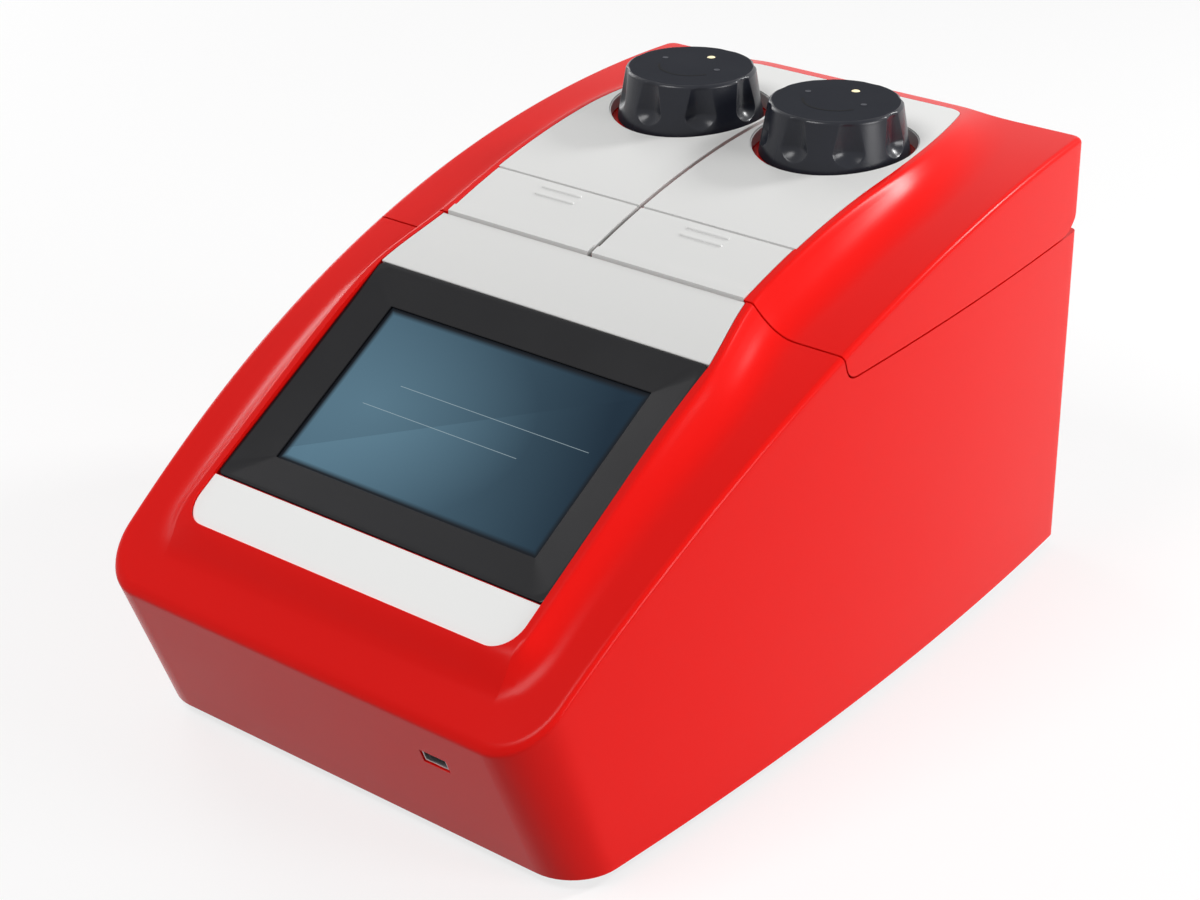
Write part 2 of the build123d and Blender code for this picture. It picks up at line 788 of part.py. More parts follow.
# Rear panel with its grilles, and what it carries
panel_front_y = rear_y - wall - panel_thickness
panel_middle_z = base_z + (panel_opening_bottom + panel_opening_top) / 2
fan_z = base_z + fan_height
inlet_z = base_z + inlet_height
socket_z = base_z + socket_height
switch_width = rocker_width + 2 * (rocker_gap + switch_wall)
switch_tall = 2 * (rocker_radius + rocker_gap + switch_wall)
with BuildPart() as rear_panel:
    with BuildSketch(Plane.XZ.offset(wall - rear_y)):
        with Locations((0, panel_middle_z)):
            panel_tall = panel_opening_top - panel_opening_bottom + 2 * panel_overlap
            Rectangle(2 * (panel_opening_half_width + panel_overlap), panel_tall)
        with Locations((inlet_offset, inlet_z)):
            Rectangle(inlet_width + 2 * fit_gap, inlet_tall + 2 * fit_gap, mode=Mode.SUBTRACT)
        with Locations((switch_offset, inlet_z)):
            Rectangle(switch_width + 2 * fit_gap, switch_tall + 2 * fit_gap, mode=Mode.SUBTRACT)
        with Locations((socket_offset + socket_pitch / 2, socket_z)):
            with GridLocations(socket_pitch, 0, 2, 1):
                Rectangle(socket_width + 2 * fit_gap, socket_tall + 2 * fit_gap, mode=Mode.SUBTRACT)
    extrude(amount=panel_thickness)
    slot_count = int(2 * fan_bore_radius / grille_slot_pitch)
    with BuildSketch(Plane.XZ.offset(wall - rear_y)):
        for slot in range(slot_count):
            rise = (slot - (slot_count - 1) / 2) * grille_slot_pitch
            slot_reach = sqrt(fan_bore_radius**2 - (abs(rise) + grille_slot_width / 2) ** 2)
            with Locations((-fan_offset, fan_z + rise), (fan_offset, fan_z + rise)):
                Rectangle(2 * slot_reach, grille_slot_width)
    extrude(amount=panel_thickness, mode=Mode.SUBTRACT)
write_piece(rear_panel.part, "rear_panel")

# Mains inlet: a flanged socket with three prongs
rear_plane = Plane(origin=(0, rear_y - wall, 0), x_dir=(-1, 0, 0), z_dir=(0, 1, 0))
with BuildPart() as mains_inlet:
    with BuildSketch(rear_plane):
        with Locations((-inlet_offset, inlet_z)):
            Rectangle(inlet_width + 2 * inlet_flange, inlet_tall + 2 * inlet_flange)
    extrude(amount=flange_thickness)
    with BuildSketch(rear_plane):
        with Locations((-inlet_offset, inlet_z)):
            Rectangle(inlet_width, inlet_tall)
    extrude(amount=-inlet_depth)
    with BuildSketch(rear_plane.offset(flange_thickness)) as inlet_mouth:
        with Locations((-inlet_offset, inlet_z)):
            Rectangle(inlet_width - 2 * inlet_wall, inlet_tall - 2 * inlet_wall)
        chamfer(inlet_mouth.vertices().group_by(Axis.Y)[-1], inlet_corner)
    extrude(amount=-(inlet_depth + flange_thickness - inlet_wall), mode=Mode.SUBTRACT)
    with BuildSketch(rear_plane.offset(-inlet_depth)):
        with Locations((-inlet_offset, inlet_z + prong_tall)):
            Rectangle(prong_width, prong_tall)
        with Locations((-inlet_offset, inlet_z - prong_drop)):
            with GridLocations(2 * prong_spread, 0, 2, 1):
                Rectangle(prong_width, prong_tall)
    extrude(amount=prong_length)
write_piece(mains_inlet.part, "mains_inlet")

# Mains switch: a frame with a rocker on an axis just behind the panel's face
rocker_y = rear_y - rocker_axis_setback
with BuildPart() as switch_frame:
    with BuildSketch(rear_plane):
        with Locations((-switch_offset, inlet_z)):
            Rectangle(switch_width + 2 * inlet_flange, switch_tall + 2 * inlet_flange)
    extrude(amount=flange_thickness)
    with BuildSketch(rear_plane):
        with Locations((-switch_offset, inlet_z)):
            Rectangle(switch_width, switch_tall)
    extrude(amount=-(rocker_radius + rocker_gap + switch_wall + rocker_axis_setback - wall))
    with BuildSketch(rear_plane.offset(flange_thickness)):
        with Locations((-switch_offset, inlet_z)):
            Rectangle(rocker_width + 2 * rocker_gap, 2 * (rocker_radius + rocker_gap))
    room_depth = flange_thickness + rocker_axis_setback - wall + rocker_radius + rocker_gap
    extrude(amount=-room_depth, mode=Mode.SUBTRACT)
    for side in (1, -1):
        wall_x = switch_offset + side * (rocker_width / 2 + rocker_gap / 2 + fit_gap / 2)
        with Locations(Location((wall_x, rocker_y, inlet_z), (0, 90, 0))):
            Cylinder(2, rocker_gap - fit_gap)
write_piece(switch_frame.part, "switch_frame")

with BuildPart() as switch_rocker:
    tilted = (0, cos(radians(rocker_tilt)), sin(radians(rocker_tilt)))
    with BuildSketch(Plane(origin=(switch_offset, rocker_y, inlet_z), x_dir=tilted, z_dir=(1, 0, 0))):
        with BuildLine():
            ThreePointArc((0, rocker_radius), (-rocker_radius, 0), (0, -rocker_radius))
            rocker_nose = rocker_radius * 0.2
            Polyline(
                (0, -rocker_radius), (rocker_nose, -rocker_radius), (rocker_nose / 2, 0),
                (rocker_nose, rocker_radius), (0, rocker_radius),
            )
        make_face()
    extrude(amount=rocker_width / 2, both=True)
write_piece(switch_rocker.part, "switch_rocker")

# Data sockets: two metal cans with open mouths
with BuildPart() as data_sockets:
    with BuildSketch(rear_plane):
        with Locations((-socket_offset - socket_pitch / 2, socket_z)):
            with GridLocations(socket_pitch, 0, 2, 1):
                Rectangle(socket_width, socket_tall)
    extrude(amount=-socket_depth)
    with BuildSketch(rear_plane):
        with Locations((-socket_offset - socket_pitch / 2, socket_z)):
            with GridLocations(socket_pitch, 0, 2, 1):
                Rectangle(socket_width - 2 * socket_wall, socket_tall - 2 * socket_wall)
    extrude(amount=-(socket_depth - socket_wall), mode=Mode.SUBTRACT)
write_piece(data_sockets.part, "data_sockets")

# Fans: a square frame with a round bore and struts that carry the motor, and a rotor with a hub
fan_back_y = panel_front_y
for side, name in ((-1, "left"), (1, "right")):
    fan_axis = Plane(origin=(side * fan_offset, fan_back_y, fan_z), x_dir=(1, 0, 0), z_dir=(0, -1, 0))
    with BuildPart() as fan_frame:
        with BuildSketch(fan_axis):
            Rectangle(fan_size, fan_size)
            Circle(fan_bore_radius, mode=Mode.SUBTRACT)
        extrude(amount=fan_depth)
        with BuildSketch(fan_axis):
            RegularPolygon(fan_hub_radius, 8, rotation=22.5)
            Rectangle(2 * fan_bore_radius + 1, fan_strut)
            Rectangle(fan_strut, 2 * fan_bore_radius + 1)
        extrude(amount=fan_strut)
    write_piece(fan_frame.part, f"fan_frame_{name}")

    rotor_plane = fan_axis.offset(fan_strut + fit_gap)
    rotor_depth = fan_depth - fan_strut - fit_gap - slot_gap
    blade_reach = fan_bore_radius - fan_tip_gap
    with BuildPart() as fan_rotor:
        with BuildSketch(rotor_plane):
            RegularPolygon(fan_hub_radius, 2 * fan_blade_count)
        extrude(amount=rotor_depth)
        blade_chord = (rotor_depth - 2) / cos(radians(fan_blade_pitch_angle))
        blade_middle = rotor_plane.offset(rotor_depth / 2)
        for blade in range(fan_blade_count):
            angle = 2 * pi * blade / fan_blade_count
            root = Plane(origin=blade_middle.origin, x_dir=(0, 1, 0), z_dir=(cos(angle), 0, sin(angle)))
            with BuildSketch(root.offset(fan_hub_radius - 2)):
                Rectangle(blade_chord, fan_blade_thickness, rotation=fan_blade_pitch_angle)
            extrude(amount=blade_reach - fan_hub_radius)
    write_piece(fan_rotor.part, f"fan_rotor_{name}")

# Control board on its standoffs, and the power supply
board_z = base_z + base_thickness + standoff_height
board_y = rear_y - board_setback
with BuildPart() as standoffs:
    with BuildSketch(Plane.XY.offset(base_z + base_thickness)):
        with Locations((0, board_y)):
            with GridLocations(board_width - 4 * standoff_radius, board_length - 4 * standoff_radius, 2, 2):
                RegularPolygon(standoff_radius, 6)
    extrude(amount=standoff_height)
write_piece(standoffs.part, "standoffs")

with BuildPart() as control_board:
    align = (Align.CENTER, Align.CENTER, Align.MIN)
    with Locations((0, board_y, board_z)):
        Box(board_width, board_length, board_thickness, align=align)
    with Locations((0, board_y, board_z + board_thickness)):
        with GridLocations(board_width / 3, board_length / 3, 2, 2):
            Box(board_width / 8, board_length / 8, 2 * board_thickness, align=align)
        with Locations((0, board_length / 2 - 3 * board_thickness)):
            Box(board_width / 2, 4 * board_thickness, 6 * board_thickness, align=align)
write_piece(control_board.part, "control_board")

with BuildPart() as power_supply:
    with Locations((supply_offset, rear_y - supply_setback, base_z + base_thickness)):
        Box(supply_width, supply_length, supply_height, align=(Align.CENTER, Align.CENTER, Align.MIN))
    chamfer(power_supply.edges().filter_by(Axis.Y).group_by(Axis.Z)[-1], 2)
write_piece(power_supply.part, "power_supply")

# Hinge brackets, which stand on the bay plate behind the blocks, and their pins
with BuildPart() as hinge_brackets:
    for side in (1, -1):
        for place in hinge_places:
            with BuildSketch(Plane.YZ.offset(side * place)):
                with Locations((hinge_y, hinge_z)):
                    RegularPolygon(bracket_eye_radius, 8, rotation=22.5)
                with Locations((hinge_y, (hinge_z + deck_z) / 2)):
                    Rectangle(bracket_stem, hinge_z - deck_z)
                with Locations((hinge_y, hinge_z)):
                    Circle(hinge_pin_radius, mode=Mode.SUBTRACT)
            extrude(amount=bracket_thickness / 2, both=True)
            foot_back_y = hinge_y + bracket_stem / 2
            with Locations((side * place, foot_back_y - bracket_foot_length / 2, deck_z)):
                foot_align = (Align.CENTER, Align.CENTER, Align.MIN)
                Box(bracket_foot_width, bracket_foot_length, bracket_foot_thickness, align=foot_align)
write_piece(hinge_brackets.part, "hinge_brackets")

pin_reach = bracket_thickness / 2 + run_gap + hinge_arm_thickness + slot_gap
with BuildPart() as hinge_pins:
    for side in (1, -1):
        for place in hinge_places:
            with BuildSketch(Plane.YZ.offset(side * place)):
                with Locations((hinge_y, hinge_z)):
                    Circle(hinge_pin_radius)
            extrude(amount=pin_reach, both=True)
write_piece(hinge_pins.part, "hinge_pins")

# Latch strikers on the bay plate: a bar on two posts behind each hook
striker_y = rear_y - hook_setback + hook_thickness / 2 + striker_gap + striker_bar / 2
with BuildPart() as latch_strikers:
    align = (Align.CENTER, Align.CENTER, Align.MIN)
    with Locations((-knob_offset, striker_y, deck_z), (knob_offset, striker_y, deck_z)):
        Box(striker_width, striker_bar, striker_rise, align=align)
        opening = striker_width - 4 * striker_bar
        Box(opening, striker_bar, striker_rise - striker_bar, align=align, mode=Mode.SUBTRACT)
write_piece(latch_strikers.part, "latch_strikers")

# Lids
inner_x = split_gap / 2
with BuildPart() as lid_solid:
    add(case_form.part)
    with BuildSketch(Plane.YZ):
        add(lid_zone(0))
    extrude(amount=case_half_width + 10, mode=Mode.INTERSECT)
    with BuildSketch(Plane.YZ):
        with BuildLine():
            below = (hinge_y, seam_z)
            behind = (rear_y, hinge_z)
            turn = hinge_radius * sqrt(0.5)
            ThreePointArc(below, (hinge_y + turn, hinge_z - turn), behind)
            Polyline(behind, (rear_y + 5, hinge_z), (rear_y + 5, seam_z - 5), (hinge_y, seam_z - 5), below)
        make_face()
    extrude(amount=case_half_width + 10, mode=Mode.SUBTRACT)
    with Locations((inner_x / 2, 0, seam_z)):
        Box(inner_x, 2 * case_depth, far, mode=Mode.SUBTRACT)

# The lid's own walls: the solid less its room, a tray under the latch flap and a cup round the knob
knob_top_z = plateau_z(knob_y) + knob_rise
knob_bottom_z = knob_top_z - knob_height
well_floor_z = knob_bottom_z - knob_air
front_lean = radians(lid_front_lean)
with BuildPart() as lid_room:
    add(case_room.part)
    with BuildSketch(Plane.YZ):
        with BuildLine():
            room_foot_y = rear_y - lid_front_setback + wall / cos(front_lean)
            deep = seam_z - overrun
            high = crest_z + overrun
            high_y = room_foot_y - (high - seam_z) * tan(front_lean)
            deep_y = room_foot_y + overrun * tan(front_lean)
            inner = hinge_radius - wall
            below = (hinge_y, hinge_z - inner)
            behind = (hinge_y + inner, hinge_z)
            turn = inner * sqrt(0.5)
            floor_y = rear_y - lid_floor_front_setback
            Polyline(below, (floor_y, hinge_z - inner), (floor_y, deep), (deep_y, deep), (high_y, high))
            Polyline((high_y, high), (hinge_y + inner, high), behind)
            ThreePointArc(below, (hinge_y + turn, hinge_z - turn), behind)
        make_face()
    extrude(amount=case_half_width + 10, mode=Mode.INTERSECT)
    with Locations(((inner_x + wall) / 2, 0, seam_z)):
        Box(inner_x + wall, 2 * case_depth, far, mode=Mode.SUBTRACT)

tray_outer = flap_outer_edge + fit_gap + wall
tray_rear_setback = panel_front_setback - wall
with BuildPart() as tray_block:
    with BuildSketch(Plane.YZ):
        add(plateau_strip(lid_front_setback + 20, tray_rear_setback, -1, tray_depth + tray_floor))
    extrude(amount=tray_outer)

with BuildPart() as well_cup:
    with BuildSketch(Plane.XY.offset(well_floor_z - wall)):
        with Locations((knob_offset, knob_y)):
            Circle(well_radius + wall)
    extrude(amount=far)

with BuildPart() as lid_core:
    add(lid_room.part)
    add(tray_block.part, mode=Mode.SUBTRACT)
    add(well_cup.part, mode=Mode.SUBTRACT)


def panel_plan(grow):
    """Plan of the right-hand lid panel, grown all round for its seat."""
    front, back = rear_y - panel_front_setback - grow, rear_y - panel_rear_setback + grow
    inner = inner_x + fit_gap - 2 * grow  # the seat runs out through the lid's inner face
    turn = rear_y - rear_rim_setback
    edge = [(rim_x(y) - rim_width + grow, y) for y in (front, turn, (turn + back) / 2, back)]
    with BuildSketch() as plan:
        with BuildLine():
            Line(edge[0], edge[1])
            ThreePointArc(*edge[1:])
            Polyline(edge[-1], (inner, back), (inner, front), edge[0])
        make_face()
        fillet(plan.vertices().sort_by_distance(edge[-1])[0], panel_corner_radius + grow)
    return plan.sketch


flap_inner = inner_x + fit_gap
hook_y = rear_y - hook_setback
liner_z = base_z + liner_height
pin_z = plateau_z(rear_y - latch_pin_setback) - latch_pin_depth
pin_y = rear_y - latch_pin_setback
bracket_slot = bracket_thickness + 2 * slot_gap
tray_top_z = plateau_z(hook_y) - tray_depth
with BuildPart() as lid_shell:
    add(lid_solid.part)
    add(lid_core.part, mode=Mode.SUBTRACT)
    with BuildPart(mode=Mode.PRIVATE) as panel_seat:
        with BuildSketch(Plane.YZ):
            add(plateau_strip(panel_front_setback + fit_gap, 0, -20, cover_seat))
        extrude(amount=case_half_width)
        add(extrude(panel_plan(fit_gap), amount=far, mode=Mode.PRIVATE), mode=Mode.INTERSECT)
    add(panel_seat.part, mode=Mode.SUBTRACT)
    with BuildPart(mode=Mode.PRIVATE) as tray_room:
        with BuildSketch(Plane.YZ):
            add(plateau_strip(lid_front_setback + 20, panel_front_setback, -20, tray_depth))
        extrude(amount=flap_outer_edge + fit_gap)
    add(tray_room.part, mode=Mode.SUBTRACT)
    with BuildSketch(Plane.XY.offset(well_floor_z)):
        with Locations((knob_offset, knob_y)):
            Circle(well_radius)
    extrude(amount=far, mode=Mode.SUBTRACT)
    with BuildSketch(Plane.XY.offset(well_floor_z - 2 * wall)):
        with Locations((knob_offset, knob_y)):
            Circle(spindle_radius + fit_gap)
    extrude(amount=far, mode=Mode.SUBTRACT)
    hook_room_back = hook_y + hook_thickness / 2 + slot_gap
    hook_room_front = hook_y - hook_thickness / 2 - hook_swing - slot_gap
    with Locations((knob_offset, (hook_room_back + hook_room_front) / 2, tray_top_z)):
        Box(hook_width + 2 * slot_gap, hook_room_back - hook_room_front, 6 * tray_floor, mode=Mode.SUBTRACT)
    for side in (1, -1):
        ear_x = knob_offset + side * ear_spread
        with BuildSketch(Plane.YZ.offset(ear_x)):
            ear_foot_z = plateau_z(pin_y) - tray_depth - tray_floor / 2
            ear_top_z = pin_z + latch_pin_radius
            with Locations((pin_y, (ear_top_z + ear_foot_z) / 2)):
                Rectangle(2 * lug_radius, ear_top_z - ear_foot_z)
            with Locations((pin_y, ear_top_z)):
                Rectangle(2 * latch_pin_radius, 4 * latch_pin_radius, mode=Mode.SUBTRACT)
        extrude(amount=ear_width / 2, both=True)
    for place in hinge_places:
        with Locations((place, rear_y - hinge_radius / 2 - 1, hinge_z - hinge_radius / 2 + 1)):
            Box(bracket_slot, hinge_radius + 14, hinge_radius + 8, mode=Mode.SUBTRACT)
write_pair(lid_shell.part, "lid_shell")

with BuildPart() as lid_panel:
    with BuildSketch(Plane.YZ):
        add(plateau_strip(panel_front_setback, 0, 0, cover_thickness))
    extrude(amount=case_half_width)
    add(extrude(panel_plan(0), amount=far, mode=Mode.PRIVATE), mode=Mode.INTERSECT)
    with BuildSketch(Plane.XY):
        with Locations((knob_offset, knob_y)):
            Circle(well_radius)
    extrude(amount=far, mode=Mode.SUBTRACT)
write_pair(lid_panel.part, "lid_panel")

# Liner that closes the lid from below, round the heated plate
heater_opening_width = heater_width + 2 * fit_gap
heater_opening_length = heater_length + 2 * fit_gap
with BuildPart() as lid_liner:
    add(lid_room.part)
    with Locations(((case_half_width + inner_x + wall) / 2 + fit_gap, 0, liner_z + liner_thickness / 2)):
        Box(case_half_width - inner_x - wall, 2 * case_depth, liner_thickness, mode=Mode.INTERSECT)
    with Locations((0, rear_y, liner_z)):
        Box(2 * case_half_width, 2 * (lid_floor_front_setback + fit_gap), far, mode=Mode.SUBTRACT)
    with Locations((0, room_foot_y - 1, liner_z)):
        Box(2 * case_half_width, 2 * (1 + fit_gap), far, mode=Mode.SUBTRACT)
    with Locations((knob_offset, knob_y, liner_z)):
        Box(heater_opening_width, heater_opening_length, far, mode=Mode.SUBTRACT)
    with Locations((knob_offset, (hook_room_back + hook_room_front) / 2, liner_z)):
        Box(hook_width + 2 * slot_gap, hook_room_back - hook_room_front, far, mode=Mode.SUBTRACT)
write_pair(lid_liner.part, "lid_liner")

# Hinge arms, screwed to the liner beside the brackets
arm_front_y = rear_y - hinge_arm_front_setback
arm_bottom_z = liner_z + liner_thickness
with BuildPart() as hinge_arms:
    for place, side in zip(hinge_places, (1, -1)):
        arm_x = place + side * (bracket_thickness / 2 + run_gap + hinge_arm_thickness / 2)
        with BuildSketch(Plane.YZ.offset(arm_x)):
            with Locations((hinge_y, hinge_z)):
                RegularPolygon(hinge_arm_eye_radius, 8, rotation=22.5)
            with BuildLine():
                arm_top_z = arm_bottom_z + hinge_arm_height
                Polyline(
                    (arm_front_y, arm_bottom_z), (hinge_y, arm_bottom_z + 5), (hinge_y, hinge_z + 5),
                    (arm_front_y, arm_top_z), close=True,
                )
            make_face()
            with Locations((hinge_y, hinge_z)):
                Circle(hinge_pin_radius + fit_gap / 2, mode=Mode.SUBTRACT)
        extrude(amount=hinge_arm_thickness / 2, both=True)
        arm_foot = floor_y - arm_front_y - 2 * slot_gap
        foot_align = (Align.CENTER, Align.MIN, Align.MIN)
        with Locations((arm_x, arm_front_y, arm_bottom_z)):
            Box(3 * hinge_arm_thickness, arm_foot, hinge_arm_thickness / 2, align=foot_align)
write_pair(hinge_arms.part, "hinge_arms")

# Latch flap with its lip, lugs and hook, and its pin
with BuildPart() as latch_flap:
    with BuildSketch(Plane.YZ):
        add(plateau_strip(flap_front_setback, flap_rear_setback, 0, flap_thickness))
    extrude(amount=flap_outer_edge)
    with BuildSketch(Plane.YZ):
        lip_rear = flap_front_setback - flap_lip_width
        add(plateau_strip(flap_front_setback, lip_rear, -flap_lip_rise, flap_lip_drop))
    extrude(amount=flap_outer_edge)
    with Locations((0, 0, crest_z)):
        Box(2 * flap_inner, 2 * case_depth, far, mode=Mode.SUBTRACT)
    with BuildSketch(Plane.YZ.offset(knob_offset)):
        for rib_setback in flap_rib_setbacks:
            add(plateau_strip(rib_setback + flap_rib_width, rib_setback, -flap_rib_rise, flap_thickness / 2))
    extrude(amount=flap_rib_length / 2, both=True)
    for side in (1, -1):
        with BuildSketch(Plane.YZ.offset(knob_offset + side * lug_spread)):
            lug_top_z = plateau_z(pin_y) - flap_thickness / 2
            lug_foot_z = pin_z - lug_radius
            with Locations((pin_y, (lug_top_z + lug_foot_z) / 2)):
                Rectangle(2 * lug_radius, lug_top_z - lug_foot_z)
            with Locations((pin_y, pin_z)):
                Circle(latch_pin_radius + fit_gap / 2, mode=Mode.SUBTRACT)
        extrude(amount=lug_width / 2, both=True)
    hook_bottom_z = base_z + hook_bottom_height
    hook_top_z = plateau_z(hook_y) - flap_thickness / 2
    with Locations((knob_offset, hook_y, (hook_bottom_z + hook_top_z) / 2)):
        Box(hook_width, hook_thickness, hook_top_z - hook_bottom_z)
write_pair(latch_flap.part, "latch_flap")

with BuildPart() as latch_pin:
    with Locations(Location((knob_offset, pin_y, pin_z), (0, 90, 0))):
        Cylinder(latch_pin_radius, latch_pin_length)
write_pair(latch_pin.part, "latch_pin")

# Knob with scallops, its lamp, and the spindle with its lock nut under the well
heater_z = base_z + heater_height
insulation_z = heater_z + heater_thickness
pressure_z = insulation_z + insulation_thickness
for side, name in ((-1, "left"), (1, "right")):
    centre = (side * knob_offset, knob_y, knob_bottom_z)
    with BuildPart() as knob:
        with Locations(centre):
            cone_align = (Align.CENTER, Align.CENTER, Align.MIN)
            Cone(knob_skirt_radius, knob_top_radius, knob_height, align=cone_align)
        chamfer(knob.edges().group_by(Axis.Z)[-1], knob_edge_chamfer)
        taper = (knob_skirt_radius - knob_top_radius) / knob_height
        foot_x = knob_skirt_radius - taper * scallop_foot + scallop_radius - scallop_foot_bite
        top_x = knob_top_radius + scallop_radius - scallop_top_bite
        lean = degrees(atan2(foot_x - top_x, knob_height - scallop_foot))
        for scallop in range(scallop_count):
            turn = Location(centre, (0, 0, 360 * scallop / scallop_count))
            with Locations(turn * Location((foot_x, 0, scallop_foot), (0, -lean, 0))):
                Cylinder(scallop_radius, knob_height, align=cone_align, mode=Mode.SUBTRACT)
        with BuildSketch(Plane.XY.offset(knob_bottom_z)):
            with Locations(centre[:2]):
                Circle(spindle_radius)
        extrude(amount=spindle_in_knob, mode=Mode.SUBTRACT)
        with Locations((centre[0], centre[1] + lamp_offset, knob_top_z)):
            Cylinder(lamp_radius, 2 * lamp_depth, mode=Mode.SUBTRACT)
    write_piece(knob.part, f"knob_{name}")

    with BuildPart() as knob_lamp:
        with Locations((centre[0], centre[1] + lamp_offset, knob_top_z)):
            Cylinder(lamp_radius, lamp_depth, align=(Align.CENTER, Align.CENTER, Align.MAX))
    write_piece(knob_lamp.part, f"knob_lamp_{name}")

    with BuildPart() as spindle:
        with BuildSketch(Plane.XY.offset(pressure_z + fit_gap)):
            with Locations(centre[:2]):
                Circle(spindle_radius)
        extrude(amount=knob_bottom_z + spindle_in_knob - pressure_z - fit_gap)
        with BuildSketch(Plane.XY.offset(well_floor_z - wall - fit_gap)):
            with Locations(centre[:2]):
                RegularPolygon(lock_nut_radius, 6)
        extrude(amount=-lock_nut_thickness)
    write_piece(spindle.part, f"spindle_{name}")

# Heated plate, insulation and pressure plate, guided by square posts under the knob's well
flat_align = (Align.CENTER, Align.CENTER, Align.MIN)
with BuildPart() as heated_plate:
    with Locations((knob_offset, knob_y, heater_z)):
        Box(heater_width, heater_length, heater_thickness, align=flat_align)
    fillet(heated_plate.edges().filter_by(Axis.Z), 3)
write_pair(heated_plate.part, "heated_plate")

guide_hole = guide_side + 2 * fit_gap
with BuildPart() as plate_insulation:
    with Locations((knob_offset, knob_y, insulation_z)):
        Box(heater_width, heater_length, insulation_thickness, align=flat_align)
        with GridLocations(2 * guide_spread, 2 * guide_spread, 2, 2):
            Box(guide_hole, guide_hole, 2 * insulation_thickness, mode=Mode.SUBTRACT)
write_pair(plate_insulation.part, "plate_insulation")

with BuildPart() as pressure_plate:
    with Locations((knob_offset, knob_y, pressure_z)):
        Box(heater_width, heater_length, pressure_plate_thickness, align=flat_align)
        with GridLocations(2 * guide_spread, 2 * guide_spread, 2, 2):
            Box(guide_hole, guide_hole, 4 * pressure_plate_thickness, mode=Mode.SUBTRACT)
    with BuildSketch(Plane.XY.offset(pressure_z)):
        with Locations((knob_offset, knob_y)):
            RegularPolygon(nut_radius, 6)
    extrude(amount=pressure_plate_thickness + nut_height)
    with BuildSketch(Plane.XY.offset(pressure_z)):
        with Locations((knob_offset, knob_y)):
            Circle(spindle_radius + fit_gap)
    extrude(amount=far, both=True, mode=Mode.SUBTRACT)
write_pair(pressure_plate.part, "pressure_plate")

with BuildPart() as guide_posts:
    guide_top_z = well_floor_z - wall
    with BuildSketch(Plane.XY.offset(guide_top_z)):
        with Locations((knob_offset, knob_y)):
            with GridLocations(2 * guide_spread, 2 * guide_spread, 2, 2):
                Rectangle(guide_side, guide_side)
    extrude(amount=insulation_z + fit_gap - guide_top_z)
write_pair(guide_posts.part, "guide_posts")
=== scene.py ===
"""Dresses a bench thermal cycler: red case, two hinged lids with knobs, a sloping touch screen."""

import json
from math import atan2, cos, degrees, exp, hypot, log, pi, radians, sin, sqrt, tan

import bmesh
import bpy
from mathutils import Matrix, Vector


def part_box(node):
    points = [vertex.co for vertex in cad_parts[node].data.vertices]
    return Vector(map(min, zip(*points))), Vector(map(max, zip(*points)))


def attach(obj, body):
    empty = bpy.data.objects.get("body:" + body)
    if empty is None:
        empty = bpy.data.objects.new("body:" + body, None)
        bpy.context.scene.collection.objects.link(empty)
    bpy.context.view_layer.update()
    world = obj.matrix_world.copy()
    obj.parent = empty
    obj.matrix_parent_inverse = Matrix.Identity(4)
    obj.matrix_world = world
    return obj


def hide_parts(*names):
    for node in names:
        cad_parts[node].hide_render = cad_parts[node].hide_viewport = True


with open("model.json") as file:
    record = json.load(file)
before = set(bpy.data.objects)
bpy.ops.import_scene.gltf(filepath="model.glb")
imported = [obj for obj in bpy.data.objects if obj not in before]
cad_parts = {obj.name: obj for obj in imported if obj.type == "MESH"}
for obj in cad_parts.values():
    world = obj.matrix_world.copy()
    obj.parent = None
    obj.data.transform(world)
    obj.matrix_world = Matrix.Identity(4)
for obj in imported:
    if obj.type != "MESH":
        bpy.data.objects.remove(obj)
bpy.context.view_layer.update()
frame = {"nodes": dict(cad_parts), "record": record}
nodes = frame["nodes"]
MM = 0.001


# Studio
# A pale table top under plain softboxes. The camera stands to the right of the front, above the
# height of the lids.
camera_place = Vector((0.7165, -0.8809, 0.6753))
camera_azimuth = radians(39.36)
camera_elevation = radians(26.68)
camera_roll = radians(-0.72)
camera_lens = 75.98

forward = Vector((
    -sin(camera_azimuth) * cos(camera_elevation),
    cos(camera_azimuth) * cos(camera_elevation),
    -sin(camera_elevation),
))
level = Vector((cos(camera_azimuth), sin(camera_azimuth), 0))
upright = level.cross(forward)
camera_right = cos(camera_roll) * level + sin(camera_roll) * upright
camera_up = cos(camera_roll) * upright - sin(camera_roll) * level
bpy.ops.object.camera_add()
camera = bpy.context.object
camera.name = "camera"
camera.data.lens = camera_lens
camera.data.sensor_width = 36
camera.data.sensor_fit = "HORIZONTAL"
turn = Matrix((camera_right, camera_up, -forward)).transposed().to_4x4()
camera.matrix_world = Matrix.Translation(camera_place) @ turn
bpy.context.scene.camera = camera
bpy.context.scene.view_settings.view_transform = "Standard"


